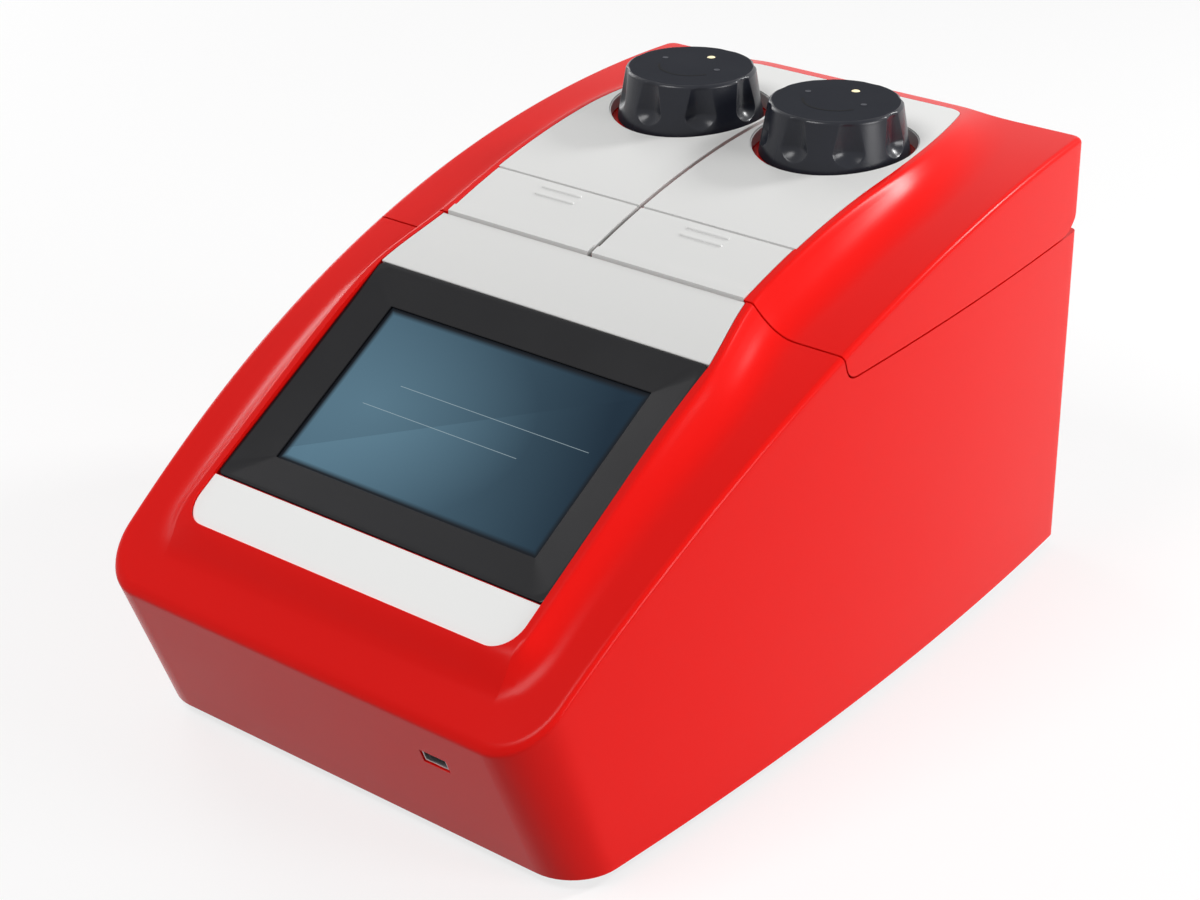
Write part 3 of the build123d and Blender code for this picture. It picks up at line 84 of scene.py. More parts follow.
class Socket:
    """An output of a shader node that Python operators can calculate with."""

    def __init__(self, tree, link):
        self.tree = tree
        self.link = link

    def node(self, kind, output=0, settings=None, **inputs):
        """Adds a node, sets it up, fills its named inputs and returns one of its outputs."""
        made = self.tree.nodes.new(kind)
        for name, value in (settings or {}).items():
            setattr(made, name, value)
        for name, value in inputs.items():
            key = int(name[1:]) if name[0] == "i" and name[1:].isdigit() else name.replace("_", " ")
            if isinstance(value, Socket):
                self.tree.links.new(value.link, made.inputs[key])
            else:
                made.inputs[key].default_value = value
        return Socket(self.tree, made.outputs[output])

    def math(self, operation, *values):
        inputs = {f"i{place}": value for place, value in enumerate(values)}
        return self.node("ShaderNodeMath", settings={"operation": operation}, **inputs)

    def __add__(self, other):
        return self.math("ADD", self, other)

    def __sub__(self, other):
        return self.math("SUBTRACT", self, other)

    def __mul__(self, other):
        return self.math("MULTIPLY", self, other)

    def __truediv__(self, other):
        return self.math("DIVIDE", self, other)

    def __lt__(self, other):
        return self.math("LESS_THAN", self, other)

    def __gt__(self, other):
        return self.math("GREATER_THAN", self, other)

    def __abs__(self):
        return self.math("ABSOLUTE", self)

    def __rsub__(self, other):
        return self.math("SUBTRACT", other, self)

    def __radd__(self, other):
        return self.math("ADD", other, self)

    def __rmul__(self, other):
        return self.math("MULTIPLY", other, self)

    def blend(self, low, high):
        """Colour that runs from low to high as this value runs from 0 to 1."""
        mix = self.tree.nodes.new("ShaderNodeMix")
        mix.data_type = "RGBA"
        self.tree.links.new(self.link, mix.inputs["Factor"])
        for key, value in ((6, low), (7, high)):
            if isinstance(value, Socket):
                self.tree.links.new(value.link, mix.inputs[key])
            else:
                mix.inputs[key].default_value = (*value, 1)
        return Socket(self.tree, mix.outputs[2])

    def axes(self):
        parts = self.tree.nodes.new("ShaderNodeSeparateXYZ")
        self.tree.links.new(self.link, parts.inputs[0])
        return [Socket(self.tree, output) for output in parts.outputs]

    def noise(self, scale, detail=2.0):
        return self.node("ShaderNodeTexNoise", Vector=self, Scale=scale, Detail=detail)


def new_material(name, color, roughness, **shader_values):
    """Principled material; returns it, its shader and the Object coordinates."""
    material = bpy.data.materials.new(name)
    material.use_nodes = True
    shader = material.node_tree.nodes["Principled BSDF"]
    shader.inputs["Base Color"].default_value = (*color, 1)
    shader.inputs["Roughness"].default_value = roughness
    for key, value in shader_values.items():
        shader.inputs[key.replace("_", " ")].default_value = value
    coordinates = material.node_tree.nodes.new("ShaderNodeTexCoord")
    return material, shader, Socket(material.node_tree, coordinates.outputs["Object"])


def feed(material, shader, key, value):
    """Drives an input of a material's shader."""
    material.node_tree.links.new(value.link, shader.inputs[key])


def bump(material, shader, height, distance, strength=1.0):
    """Fine relief from a height between 0 and 1, over a distance in metres."""
    relief = height.node("ShaderNodeBump", Height=height, Distance=distance, Strength=strength)
    feed(material, shader, "Normal", relief)


def moulded(name, color, roughness, grain=0.00004, grain_scale=1800.0, spread=0.08, **shader_values):
    """Moulded plastic: fine grain, and a colour and gloss that drift a little over the surface."""
    material, shader, place = new_material(name, color, roughness, **shader_values)
    cloud = place.noise(9.0, 3.0)
    darker = tuple(part * (1 - spread) for part in color)
    lighter = tuple(min(1.0, part * (1 + spread)) for part in color)
    feed(material, shader, "Base Color", cloud.blend(darker, lighter))
    feed(material, shader, "Roughness", roughness - 0.04 + 0.08 * place.noise(40.0))
    bump(material, shader, place.noise(grain_scale), grain)
    return material


def seen_share(tree):
    """One for rays that come from the camera, a reflection or glass, else zero."""
    rays = tree.nodes.new("ShaderNodeLightPath")
    kinds = ("Is Camera Ray", "Is Glossy Ray", "Is Transmission Ray")
    first, second, third = (Socket(tree, rays.outputs[kind]) for kind in kinds)
    return first.math("MAXIMUM", first.math("MAXIMUM", first, second), third)


floor_material, floor_shader, floor_place = new_material("table_top", (0.9, 0.9, 0.9), 0.6)
floor_light = floor_material.node_tree.nodes.new("ShaderNodeEmission")
floor_light.inputs["Strength"].default_value = 1.0
floor_mix = floor_material.node_tree.nodes.new("ShaderNodeMixShader")
floor_seen = seen_share(floor_material.node_tree)
feed(floor_material, floor_shader, "Base Color", floor_seen.blend((0.30, 0.30, 0.30), (0.9, 0.9, 0.9)))
floor_share = 0.7 * floor_seen
floor_output = floor_material.node_tree.nodes["Material Output"]
floor_material.node_tree.links.new(floor_share.link, floor_mix.inputs[0])
floor_material.node_tree.links.new(floor_shader.outputs[0], floor_mix.inputs[1])
floor_material.node_tree.links.new(floor_light.outputs[0], floor_mix.inputs[2])
floor_material.node_tree.links.new(floor_mix.outputs[0], floor_output.inputs[0])
bpy.ops.object.select_all(action="DESELECT")
bpy.ops.mesh.primitive_plane_add(size=8, location=(0, 0, -0.0002))
table_top = bpy.context.object
table_top.name = "table_top"
table_top.data.materials.append(floor_material)

world = bpy.data.worlds.new("studio")
bpy.context.scene.world = world
world.use_nodes = True
surround = world.node_tree.nodes["Background"]
surround.inputs["Color"].default_value = (1, 1, 1, 1)
world.node_tree.links.new((0.27 + 0.73 * seen_share(world.node_tree)).link, surround.inputs["Strength"])

for name, place, size, power in (
    ("key_softbox", (-0.3, -1.2, 1.8), 0.8, 21),
    ("side_softbox", (2.0, 0.35, 0.6), 0.8, 23),
    ("rear_softbox", (1.0, 1.5, 1.25), 0.32, 22),
    ("left_softbox", (-1.9, 0.6, 0.9), 0.9, 9),
):
    bpy.ops.object.light_add(type="AREA", location=place)
    lamp = bpy.context.object
    lamp.name = name
    lamp.data.size = size
    lamp.data.energy = power
    lamp.rotation_euler = (Vector((0, 0, 0.12)) - Vector(place)).to_track_quat("-Z", "Y").to_euler()


# Form of the case
# The moulded case is one smooth form that the lids and the housing share: bowed sides, ridges that
# sink towards the nose, and a raised middle whose flanks run out in a hollow curve.
case_low, case_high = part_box("lower_housing")
rear_y = case_high.y / MM
nose_y = case_low.y / MM
base_z = case_low.z / MM
case_half_width = case_high.x / MM
case_end_half_width = 132.7
bow_end_y = -154.5
front_corner_radius = 24.0
rear_corner_radius = 4.0
ridge_radius = 742.02
ridge_top_z = 236.0
ridge_round = 3.0
undercut_depth = 31.0
crest_radius = 484.0
crest_y = 148.5
crest_z = 243.0
front_slope = radians(31.5)
lid_rim_half_width = 96.0
front_rim_half_width = 106.0
rear_rim_y = 93.5
rear_rim_radius = 280.0
rim_shift_start_y = -1.5
rim_shift_end_y = -66.5
rim_front_y = -198.5
rim_corner = 12.0
rim_soft = 0.9
flank_width_rear = 30.0
flank_width_front = 15.0
flank_width_nose = 7.0
flank_power = 2.4
bow = case_half_width - case_end_half_width
bow_radius = (rear_y**2 + bow**2) / (2 * bow)


def ridge_z(y):
    """Height of the ridge along the sides."""
    return ridge_top_z - ridge_radius + sqrt(ridge_radius**2 - (rear_y - y) ** 2)


def plateau_z(y, depth=0.0):
    """Height of the raised middle, or of a layer at a depth below it."""
    radius = crest_radius - depth
    turn_y = crest_y - radius * sin(front_slope)
    if y >= turn_y:
        return crest_z - crest_radius + sqrt(radius**2 - (y - crest_y) ** 2)
    turn_z = crest_z - crest_radius + radius * cos(front_slope)
    return turn_z - (turn_y - y) * tan(front_slope)


def side_x(y):
    """Half-width of the bowed case."""
    if y < bow_end_y:
        end_x = case_half_width - bow_radius + sqrt(bow_radius**2 - bow_end_y**2)
        return end_x + (y - bow_end_y) * -bow_end_y / (end_x - case_half_width + bow_radius)
    return case_half_width - bow_radius + sqrt(bow_radius**2 - y**2)


def rim_x(y):
    """Half-width of the raised middle."""
    if y > rear_rim_y:
        return lid_rim_half_width - (y - rear_rim_y) ** 2 / (2 * rear_rim_radius)
    share = min(1.0, max(0.0, (rim_shift_start_y - y) / (rim_shift_start_y - rim_shift_end_y)))
    return lid_rim_half_width + (front_rim_half_width - lid_rim_half_width) * (1 - cos(pi * share)) / 2


def top_z(x, y):
    """Height of the case over a place in plan."""
    low = ridge_z(y)
    middle = plateau_z(max(y, rim_front_y))
    rise = max(middle - low, 0.0)
    out_x = abs(x) - rim_x(y) + rim_corner
    out_y = rim_front_y - y + rim_corner
    beyond = hypot(max(out_x, 0), max(out_y, 0)) - rim_corner
    distance = min(max(out_x, out_y), 0) + beyond if max(out_x, out_y) < 0 else beyond
    along = (rear_y - y) / (rear_y - rim_front_y)
    side_width = flank_width_rear + (flank_width_front - flank_width_rear) * min(1.0, along)
    share = max(out_y, 0) / (max(out_x, 0) + max(out_y, 0) + 1e-6)
    width = side_width + (flank_width_nose - side_width) * share
    falling = max(0.0, 1 - distance / width) ** flank_power * rise
    softness = rim_soft * min(1.0, rise / 4 + 0.05)
    lower = min(falling, rise)
    return low + lower - softness * log(1 + exp(-abs(falling - rise) / softness))


def outline_half_width(y, front_y, inset):
    """Half-width of the case's plan at a place, with its rounded corners."""
    half = side_x(y) - inset
    corners = ((front_corner_radius - inset, y - front_y), (rear_corner_radius, rear_y - inset - y))
    for radius, reach in corners:
        into = radius - reach
        if into > 0:
            half -= radius - sqrt(max(radius**2 - into**2, 0))
    return half


def plan_grid(front_y, inset):
    """Rows of places in plan, from the front to the rear, finer where the form turns."""
    front, back = front_y + inset, rear_y - inset
    corner_rows = 12
    radius = front_corner_radius - inset
    steps = [front + radius * (1 - cos(pi / 2 * row / corner_rows)) for row in range(corner_rows)]
    open_rows = 96
    end = back - rear_corner_radius
    steps += [front + radius + (end - front - radius) * row / open_rows for row in range(open_rows + 1)]
    steps += [end + rear_corner_radius * sin(pi / 2 * row / 4) for row in (1, 2, 3, 4)]
    rows = []
    for y in steps:
        half = outline_half_width(y, front, inset)
        rim = min(rim_x(y), half - 16)
        foot = min(rim + 30, half - 3)
        right = [rim * share / 8 for share in range(1, 8)]
        right += [rim - 3 + 6 * share / 12 for share in range(13)]
        right += [rim + 3 + (foot - rim - 3) * share / 14 for share in range(1, 15)]
        right += [foot + (half - foot) * share / 3 for share in (1, 2, 3)]
        rows.append([(-x, y) for x in reversed(right)] + [(0.0, y)] + [(x, y) for x in right])
    return rows


def border(rows):
    """The rim of a grid as one loop."""
    loop = list(rows[0])
    loop += [row[-1] for row in rows[1:]]
    loop += list(reversed(rows[-1][:-1]))
    loop += [row[0] for row in reversed(rows[1:-1])]
    return loop


def build(name, points, faces):
    """An object from points in millimetres and faces, with its doubles merged and its normals out."""
    mesh = bpy.data.meshes.new(name)
    mesh.from_pydata([(x * MM, y * MM, z * MM) for x, y, z in points], [], faces)
    piece = bpy.data.objects.new(name, mesh)
    bpy.context.collection.objects.link(piece)
    edit = bmesh.new()
    edit.from_mesh(mesh)
    bmesh.ops.remove_doubles(edit, verts=edit.verts, dist=1e-7)
    bmesh.ops.recalc_face_normals(edit, faces=edit.faces)
    edit.to_mesh(mesh)
    edit.free()
    return piece


def ring_faces(rings, around, closed=False, start=0):
    """Quads between neighbouring rings of points, and back to the first ring where closed."""
    faces = []
    for ring in range(rings if closed else rings - 1):
        here = start + ring * around
        there = start + (ring + 1) % rings * around
        for k in range(around):
            beside = (k + 1) % around
            faces.append((here + k, here + beside, there + beside, there + k))
    return faces


def case_form(name, inset, drop=0.0):
    """The case as a closed form, or its room at an inset, with its roof a drop lower."""
    round_radius = ridge_round if inset == 0 else 0.5
    rows = plan_grid(nose_y, inset + round_radius)
    points = [(x, y, top_z(x, y) - drop) for row in rows for x, y in row]
    across = len(rows[0])
    faces = []
    for row in range(len(rows) - 1):
        for place in range(across - 1):
            corner = row * across + place
            faces.append((corner, corner + 1, corner + across + 1, corner + across))
    order = [row * across + place for row in range(len(rows)) for place in range(across)]
    index_rows = [order[row * across:(row + 1) * across] for row in range(len(rows))]
    last = border(index_rows)
    inner, outer = border(rows), border(plan_grid(nose_y, inset))
    rings = []
    for step in (1, 2, 3, 4, 5):
        angle = pi / 2 * step / 5
        ring = []
        for (x0, y0), (x1, y1) in zip(inner, outer):
            x, y = x0 + (x1 - x0) * sin(angle), y0 + (y1 - y0) * sin(angle)
            ring.append((x, y, top_z(x, y) - drop - round_radius * (1 - cos(angle))))
        rings.append(ring)
    shoulder = rings[-1]
    for share in (0.02, 0.06, 0.15, 0.3, 0.5, 0.7, 0.9, 1.0):
        outline = border(plan_grid(nose_y + undercut_depth * share, inset))
        ring = []
        for (x, y), (_, _, start_z) in zip(outline, shoulder):
            ring.append((x, y, start_z + (base_z - inset - start_z) * share))
        rings.append(ring)
    for ring in rings:
        start = len(points)
        points += ring
        now = list(range(start, start + len(ring)))
        for place in range(len(ring)):
            after = (place + 1) % len(ring)
            faces.append((last[place], last[after], now[after], now[place]))
        last = now
    faces.append(tuple(last))
    return build(name, points, faces)


def prism(name, outline, axis, start, end):
    """A cutter: an outline in the plane across an axis, extruded along it between two places."""
    def place(point, along):
        return (along, *point) if axis == "X" else (*point, along)
    count = len(outline)
    points = [place(point, start) for point in outline] + [place(point, end) for point in outline]
    faces = [tuple(range(count)), tuple(reversed(range(count, 2 * count)))]
    faces += [(k, (k + 1) % count, (k + 1) % count + count, k + count) for k in range(count)]
    return build(name, points, faces)


def combine(piece, tool, operation="DIFFERENCE"):
    """Cuts a piece with a tool, or joins or intersects them."""
    modifier = piece.modifiers.new(operation.lower(), "BOOLEAN")
    modifier.operation = operation
    modifier.solver = "EXACT"
    modifier.object = tool
    bpy.context.view_layer.objects.active = piece
    bpy.ops.object.modifier_apply(modifier=modifier.name)
    bpy.data.objects.remove(tool, do_unlink=True)


def arc(centre, radius, start, end, count):
    """Points of an arc, with its angles in degrees."""
    angles = [radians(start + (end - start) * step / count) for step in range(count + 1)]
    return [(centre[0] + radius * cos(angle), centre[1] + radius * sin(angle)) for angle in angles]


def plateau_band(front_y, rear_y_there, upper, lower, steps=24):
    """Side view of the layer between two depths below the plateau."""
    places = [front_y + (rear_y_there - front_y) * step / steps for step in range(steps + 1)]
    top = [(y, plateau_z(y, upper)) for y in places]
    return top + [(y, plateau_z(y, lower)) for y in reversed(places)]


def finish(piece, body, material, *replaced, angle=32, slot=None):
    """Shades a piece, gives it its finish and lets it ride."""
    bpy.ops.object.select_all(action="DESELECT")
    piece.select_set(True)
    bpy.context.view_layer.objects.active = piece
    bpy.ops.object.shade_smooth_by_angle(angle=radians(angle))
    modifier = piece.modifiers.new("normals", "WEIGHTED_NORMAL")
    modifier.keep_sharp = True
    bpy.ops.object.modifier_apply(modifier=modifier.name)
    piece.data.materials.clear()
    piece.data.materials.append(material)
    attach(piece, body)
    if replaced:
        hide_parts(*replaced)


def block(name, low, high):
    """A box between two corners, as a start for a moulded detail or as a cutter."""
    bpy.ops.object.select_all(action="DESELECT")
    middle = [(a + b) / 2 * MM for a, b in zip(low, high)]
    bpy.ops.mesh.primitive_cube_add(size=MM, location=middle)
    piece = bpy.context.object
    piece.name = name
    piece.scale = [b - a for a, b in zip(low, high)]
    bpy.ops.object.transform_apply(location=True, rotation=True, scale=True)
    return piece


def soften(piece, width, segments=2, angle=40):
    """Rounds the sharp edges of a piece."""
    modifier = piece.modifiers.new("soften", "BEVEL")
    modifier.width = width * MM
    modifier.segments = segments
    modifier.limit_method = "ANGLE"
    modifier.angle_limit = radians(angle)
    modifier.use_clamp_overlap = True
    modifier.miter_outer = "MITER_ARC"
    bpy.context.view_layer.objects.active = piece
    bpy.ops.object.modifier_apply(modifier=modifier.name)


# Lower housing
# One glossy red moulding: the front slope with its seats for the covers and the screen, the undercut
# nose, the sides and the rear up to the seam, and the sunk bay under the lids.
seam_z = 186.0
seam_gap = 1.0
wall = 3.0
fit_gap = 0.3
edge_round = 0.5
overreach = 20.0
zone_reach = 30.0
zone_rise = 60.0
cut_foot_z, cut_top_z = -50.0, 300.0
far_x = case_half_width + overreach
cover_thickness = 3.0
cover_seat = 3.2
rim_inset = 4.0
lid_front_y = -3.4
lid_edge_y = -13.5
lid_front_lean = atan2(lid_front_y - lid_edge_y, plateau_z(lid_edge_y) - seam_z)
lid_corner_radius = 8.0
bay_floor_z = 178.0
bay_floor_thickness = 3.0
bay_ledge = 5.0
bay_front_y = 0.9
roof_drop = 9.0
red = (0.76, 0.0065, 0.0045)
red_gloss = moulded("red_gloss", red, 0.24, grain=0.00001, grain_scale=420.0, spread=0.03,
                    Specular_IOR_Level=0.09)


def upright(name, outline):
    """A cutter through the whole height, from its plan."""
    return prism(name, outline, "Z", cut_foot_z, cut_top_z)


def crosswise(name, outline, side=0, inner=0.0):
    """A cutter from its side view, through the whole width or outwards on one side."""
    start = side * inner if side else -far_x
    end = side * far_x if side else far_x
    return prism(name, outline, "X", *sorted((start, end)))


def lid_zone(grow):
    """Side view of the room of the lids, grown all round, with a round lower front corner."""
    bottom, top = seam_z - grow, crest_z + zone_rise
    foot_y = lid_front_y - grow / cos(lid_front_lean) + grow * tan(lid_front_lean)
    radius = lid_corner_radius + grow
    half_turn = (90 - degrees(lid_front_lean)) / 2
    centre = (foot_y + radius * tan(radians(half_turn)), bottom + radius)
    points = arc(centre, radius, 180 + degrees(lid_front_lean), 270, 12)
    back_y = rear_y + zone_reach
    top_y = foot_y - (top - bottom) * tan(lid_front_lean)
    return points + [(back_y, bottom), (back_y, top), (top_y, top)]


def plan_outline(inset, front_y, back_y, steps=40):
    """Plan of the case between two places, at an inset from its bowed sides."""
    places = [front_y + (back_y - front_y) * step / steps for step in range(steps + 1)]
    right = [(side_x(y) - inset, y) for y in places]
    return right + [(-x, y) for x, y in reversed(right)]


def bay_prism(name, grow, low):
    """Room of the bay, grown all round, from a height up through the seam."""
    outline = plan_outline(2 * wall - grow, bay_front_y - grow, rear_y - 2 * wall + grow)
    return prism(name, outline, "Z", low, seam_z + overreach)


bezel_length = 136.6
bezel_half_width = 101.0
bezel_slope = radians(30.5)
bezel_thickness = 5.0
bezel_top_y = -52.6
bezel_top_drop = 0.4
bezel_middle_y = bezel_top_y - bezel_length / 2 * cos(bezel_slope)
bezel_middle_z = plateau_z(bezel_top_y) - bezel_top_drop - bezel_length / 2 * sin(bezel_slope)
box_corners = ((-1, -1), (1, -1), (1, 1), (-1, 1))
box_faces = ((0, 1, 2, 3), (4, 5, 6, 7), (0, 1, 5, 4), (1, 2, 6, 5), (2, 3, 7, 6), (3, 0, 4, 7))


def on_bezel(x, up, height):
    """A place given along the bezel's face: across, up the slope, and out of the face."""
    y = bezel_middle_y + up * cos(bezel_slope) - height * sin(bezel_slope)
    z = bezel_middle_z + up * sin(bezel_slope) + height * cos(bezel_slope)
    return x, y, z


def slanted_box(name, half_width, half_length, low, high):
    """A box that stands square on the bezel's face."""
    points = []
    for height in (low, high):
        points += [on_bezel(x * half_width, up * half_length, height) for x, up in box_corners]
    return build(name, points, box_faces)


def bezel_room(name):
    """Room of the bezel with its clearance, open to the front."""
    half_length = bezel_length / 2 + fit_gap
    return slanted_box(name, bezel_half_width + fit_gap, half_length, -bezel_thickness - fit_gap, overreach)


def standing_box(name, centre, normal, half_width, half_height, reach):
    """A cutter whose length stands square on a leaning face of the front."""
    out = Vector(normal).normalized()
    up = Vector((1, 0, 0)).cross(-out)
    points = []
    for along in (-reach, reach):
        for x, rise in box_corners:
            corner = Vector(centre) + Vector((x * half_width, 0, 0)) + rise * half_height * up + along * out
            points.append(tuple(corner))
    return build(name, points, box_faces)


housing = case_form("lower_housing_skin", 0)
combine(housing, crosswise("zone", lid_zone(seam_gap)))
combine(housing, bay_prism("bay", 0, bay_floor_z))
housing_room = case_form("housing_room", wall, roof_drop)
combine(housing_room, crosswise("room_zone", lid_zone(seam_gap + wall)))
combine(housing_room, bay_prism("room_bay", wall, bay_floor_z - bay_floor_thickness))
combine(housing, housing_room)
combine(housing, bay_prism("bay_opening", -bay_ledge, bay_floor_z - 2 * bay_floor_thickness))

plate_front_y, plate_back_y = -194.5, -171.4
plate_half_width = 101.0
plate_corner = 13.0
plate_sink = 1.0
plate_seat_back_y = plate_back_y + 1.2


def plate_outline(grow):
    """Plan of the front plate with its round lower corners, grown for its seat."""
    across, front = plate_half_width - plate_corner, plate_front_y + plate_corner
    plan = arc((-across, front), plate_corner + grow, 180, 270, 16)
    plan += arc((across, front), plate_corner + grow, 270, 360, 16)
    back = plate_back_y + 5
    return plan + [(plate_half_width + grow, back), (-plate_half_width - grow, back)]


seat_side = plateau_band(plate_front_y - fit_gap, plate_seat_back_y, -overreach, cover_seat + plate_sink, 2)
plate_seat = crosswise("plate_seat", seat_side)
combine(plate_seat, upright("plate_seat_plan", plate_outline(fit_gap)), "INTERSECT")
combine(housing, plate_seat)

band_front_y, band_back_y = -52.3, -14.7
band_seat_run = 9.0


def band_outline(grow):
    """Plan of the front band, whose sides follow the rim, grown for its seat."""
    front = band_front_y - grow - 3
    back = band_back_y + (overreach if grow else 0)
    steps = 16
    places = [front + (back - front) * step / steps for step in range(steps + 1)]
    right = [(rim_x(y) - rim_inset + grow, y) for y in places]
    return right + [(-x, y) for x, y in reversed(right)]


seat_side = plateau_band(band_front_y - fit_gap, band_back_y + band_seat_run, -overreach, cover_seat)
band_seat = crosswise("band_seat", seat_side)
combine(band_seat, upright("band_seat_plan", band_outline(fit_gap)), "INTERSECT")
combine(housing, band_seat)
combine(housing, bezel_room("bezel_seat"))

glass_half_width = 84.3
glass_half_length = 52.05
glass_cut_depth = 30.0
glass_room = (glass_half_width + fit_gap, glass_half_length + fit_gap)
combine(housing, slanted_box("glass_seat", *glass_room, -glass_cut_depth, 0))

panel_low, panel_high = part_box("rear_panel")
rear_overlap = 4.0
opening_reach = 10.0
opening_low = (panel_low.x / MM + rear_overlap, rear_y - opening_reach, panel_low.z / MM + rear_overlap)
opening_high = (panel_high.x / MM - rear_overlap, rear_y + opening_reach, panel_high.z / MM - rear_overlap)
combine(housing, block("rear_opening", opening_low, opening_high))

port_x, port_height = 74.0, 55.0
port_half_width, port_half_height, port_reach = 7.85, 4.2, 14.0
nose_height = 80.25
port_y = nose_y + undercut_depth * (1 - port_height / nose_height)
port_centre = (port_x, port_y, base_z + port_height)
port_normal = (0, -nose_height, -undercut_depth)
port = standing_box("port_opening", port_centre, port_normal, port_half_width, port_half_height, port_reach)
combine(housing, port)
soften(housing, edge_round)
finish(housing, "base", red_gloss, "lower_housing", slot="red_gloss")


# Lids
# Each lid is half of the raised red top behind the slope, cut along the middle, with a rounded hinge
# end. Its wall stands round the seat of the grey panel, the knob's well and the tray of the latch.
inner_x = 1.0
hinge_radius = 18.0
hinge_y = rear_y - hinge_radius
hinge_z = seam_z + hinge_radius
knob_x = 45.3
knob_y = rear_y - 97.4
knob_low, knob_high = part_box("knob_right")
knob_bottom_z = knob_low.z / MM
knob_top_z = knob_high.z / MM
bore_radius = 6.3
well_radius = 42.5
well_floor_z = knob_bottom_z - 1.2
cup_height = 60.0
panel_front_y = rear_y - 196.8
panel_back_y = rear_y - 12.0
panel_corner_radius = 8.0
panel_corner_lean = 0.35
tray_depth = 14.0
flap_outer_x = 91.0
bracket_places = (24.0, 112.0)
bracket_slot_half = 4.0
bracket_slot_front, bracket_slot_back = 26.0, 6.0
bracket_slot_foot, bracket_slot_rise = 21.0, 5.0
hook_y = rear_y - 209.5
hook_slot_half = 9.0
hook_slot_front, hook_slot_back = 9.95, 2.75
pin_y = rear_y - 200.2
pin_z = plateau_z(pin_y) - 5.8
ear_spread, ear_half_width, ear_half_length = 36.0, 2.0, 2.5
ear_foot, ear_rise = 1.5, 1.25


def panel_outline(side, grow):
    """Plan of a lid panel, grown for its seat."""
    front, back = panel_front_y - grow, panel_back_y + grow
    inner = inner_x + fit_gap - 2 * grow
    radius = panel_corner_radius + grow
    points = [(inner, front)]
    steps = 28
    end = back - radius
    places = [front + (end - front) * step / steps for step in range(steps + 1)]
    points += [(rim_x(y) - rim_inset + grow, y) for y in places]
    centre_x = rim_x(end) - rim_inset + grow - radius
    for step in range(1, 11):
        angle = pi / 2 * step / 10
        x = centre_x + radius * cos(angle) - radius * sin(angle) * panel_corner_lean
        points.append((x, end + radius * sin(angle)))
    points.append((inner, back))
    return [(side * x, y) for x, y in points]


def ring_outline(x, y, radius, count=128):
    """A circle as a polygon."""
    angles = [2 * pi * k / count for k in range(count)]
    return [(x + radius * cos(angle), y + radius * sin(angle)) for angle in angles]


hinge_turn = arc((hinge_y, hinge_z), hinge_radius, 270, 360, 16)
hinge_end_y = rear_y + overreach
hinge_cut = hinge_turn + [(hinge_end_y, hinge_z), (hinge_end_y, seam_z - 5), (hinge_y, seam_z - 5)]
room_top_z, room_foot_z = crest_z + overreach, seam_z - overreach
room_front_y = lid_front_y + wall / cos(lid_front_lean)
room_top_y = room_front_y - (room_top_z - seam_z) * tan(lid_front_lean)
room_foot_y = room_front_y + overreach * tan(lid_front_lean)
room_floor_y = rear_y - 30.0
room_turn = arc((hinge_y, hinge_z), hinge_radius - wall, 270, 360, 12)
room_side = [(room_foot_y, room_foot_z), (room_floor_y, room_foot_z)]
room_side += [(room_floor_y, hinge_z - hinge_radius + wall), *room_turn]
room_side += [(rear_y - wall, room_top_z), (room_top_y, room_top_z)]
for side, name in ((1, "right"), (-1, "left")):
    lid = case_form(f"lid_shell_{name}_skin", 0)
    combine(lid, crosswise("zone", lid_zone(0), side, inner_x), "INTERSECT")
    combine(lid, crosswise("hinge_round", hinge_cut))
    room = case_form("room", wall, cover_seat + wall)
    combine(room, crosswise("room_zone", room_side, side, inner_x + wall), "INTERSECT")
    tray = plateau_band(lid_front_y - overreach, panel_front_y + wall, -1, tray_depth + wall)
    start, end = sorted((0, side * (flap_outer_x + fit_gap + wall)))
    combine(room, prism("tray", tray, "X", start, end))
    cup = ring_outline(side * knob_x, knob_y, well_radius + wall)
    combine(room, prism("cup", cup, "Z", well_floor_z - wall, well_floor_z + cup_height))
    combine(lid, room)
    panel_seat = crosswise("seat", plateau_band(panel_front_y - fit_gap, rear_y, -overreach, cover_seat))
    combine(panel_seat, upright("seat_plan", panel_outline(side, fit_gap)), "INTERSECT")
    combine(lid, panel_seat)
    tray_room = plateau_band(lid_front_y - overreach, panel_front_y, -overreach, tray_depth)
    start, end = sorted((0, side * (flap_outer_x + fit_gap)))
    combine(lid, prism("tray_room", tray_room, "X", start, end))
    for place in bracket_places:
        slot_x = side * place
        low = (slot_x - bracket_slot_half, rear_y - bracket_slot_front, hinge_z - bracket_slot_foot)
        high = (slot_x + bracket_slot_half, rear_y + bracket_slot_back, hinge_z + bracket_slot_rise)
        combine(lid, block("bracket_slot", low, high))
    tray_z = plateau_z(hook_y) - tray_depth
    low = (side * knob_x - hook_slot_half, hook_y - hook_slot_front, tray_z - 3 * wall)
    high = (side * knob_x + hook_slot_half, hook_y + hook_slot_back, tray_z + 3 * wall)
    combine(lid, block("hook_slot", low, high))
    for ear_x in (side * knob_x - ear_spread, side * knob_x + ear_spread):
        low = (ear_x - ear_half_width, pin_y - ear_half_length, plateau_z(pin_y) - tray_depth - ear_foot)
        high = (ear_x + ear_half_width, pin_y + ear_half_length, pin_z + ear_rise)
        combine(lid, block("ear", low, high), "UNION")
    well = ring_outline(side * knob_x, knob_y, well_radius)
    combine(lid, prism("well", well, "Z", well_floor_z, cut_top_z))
    hole = ring_outline(side * knob_x, knob_y, bore_radius, 48)
    combine(lid, prism("spindle_hole", hole, "Z", well_floor_z - 10, well_floor_z + 10))
    soften(lid, edge_round)
    finish(lid, f"lid_{name}", red_gloss, f"lid_shell_{name}", slot="red_gloss")


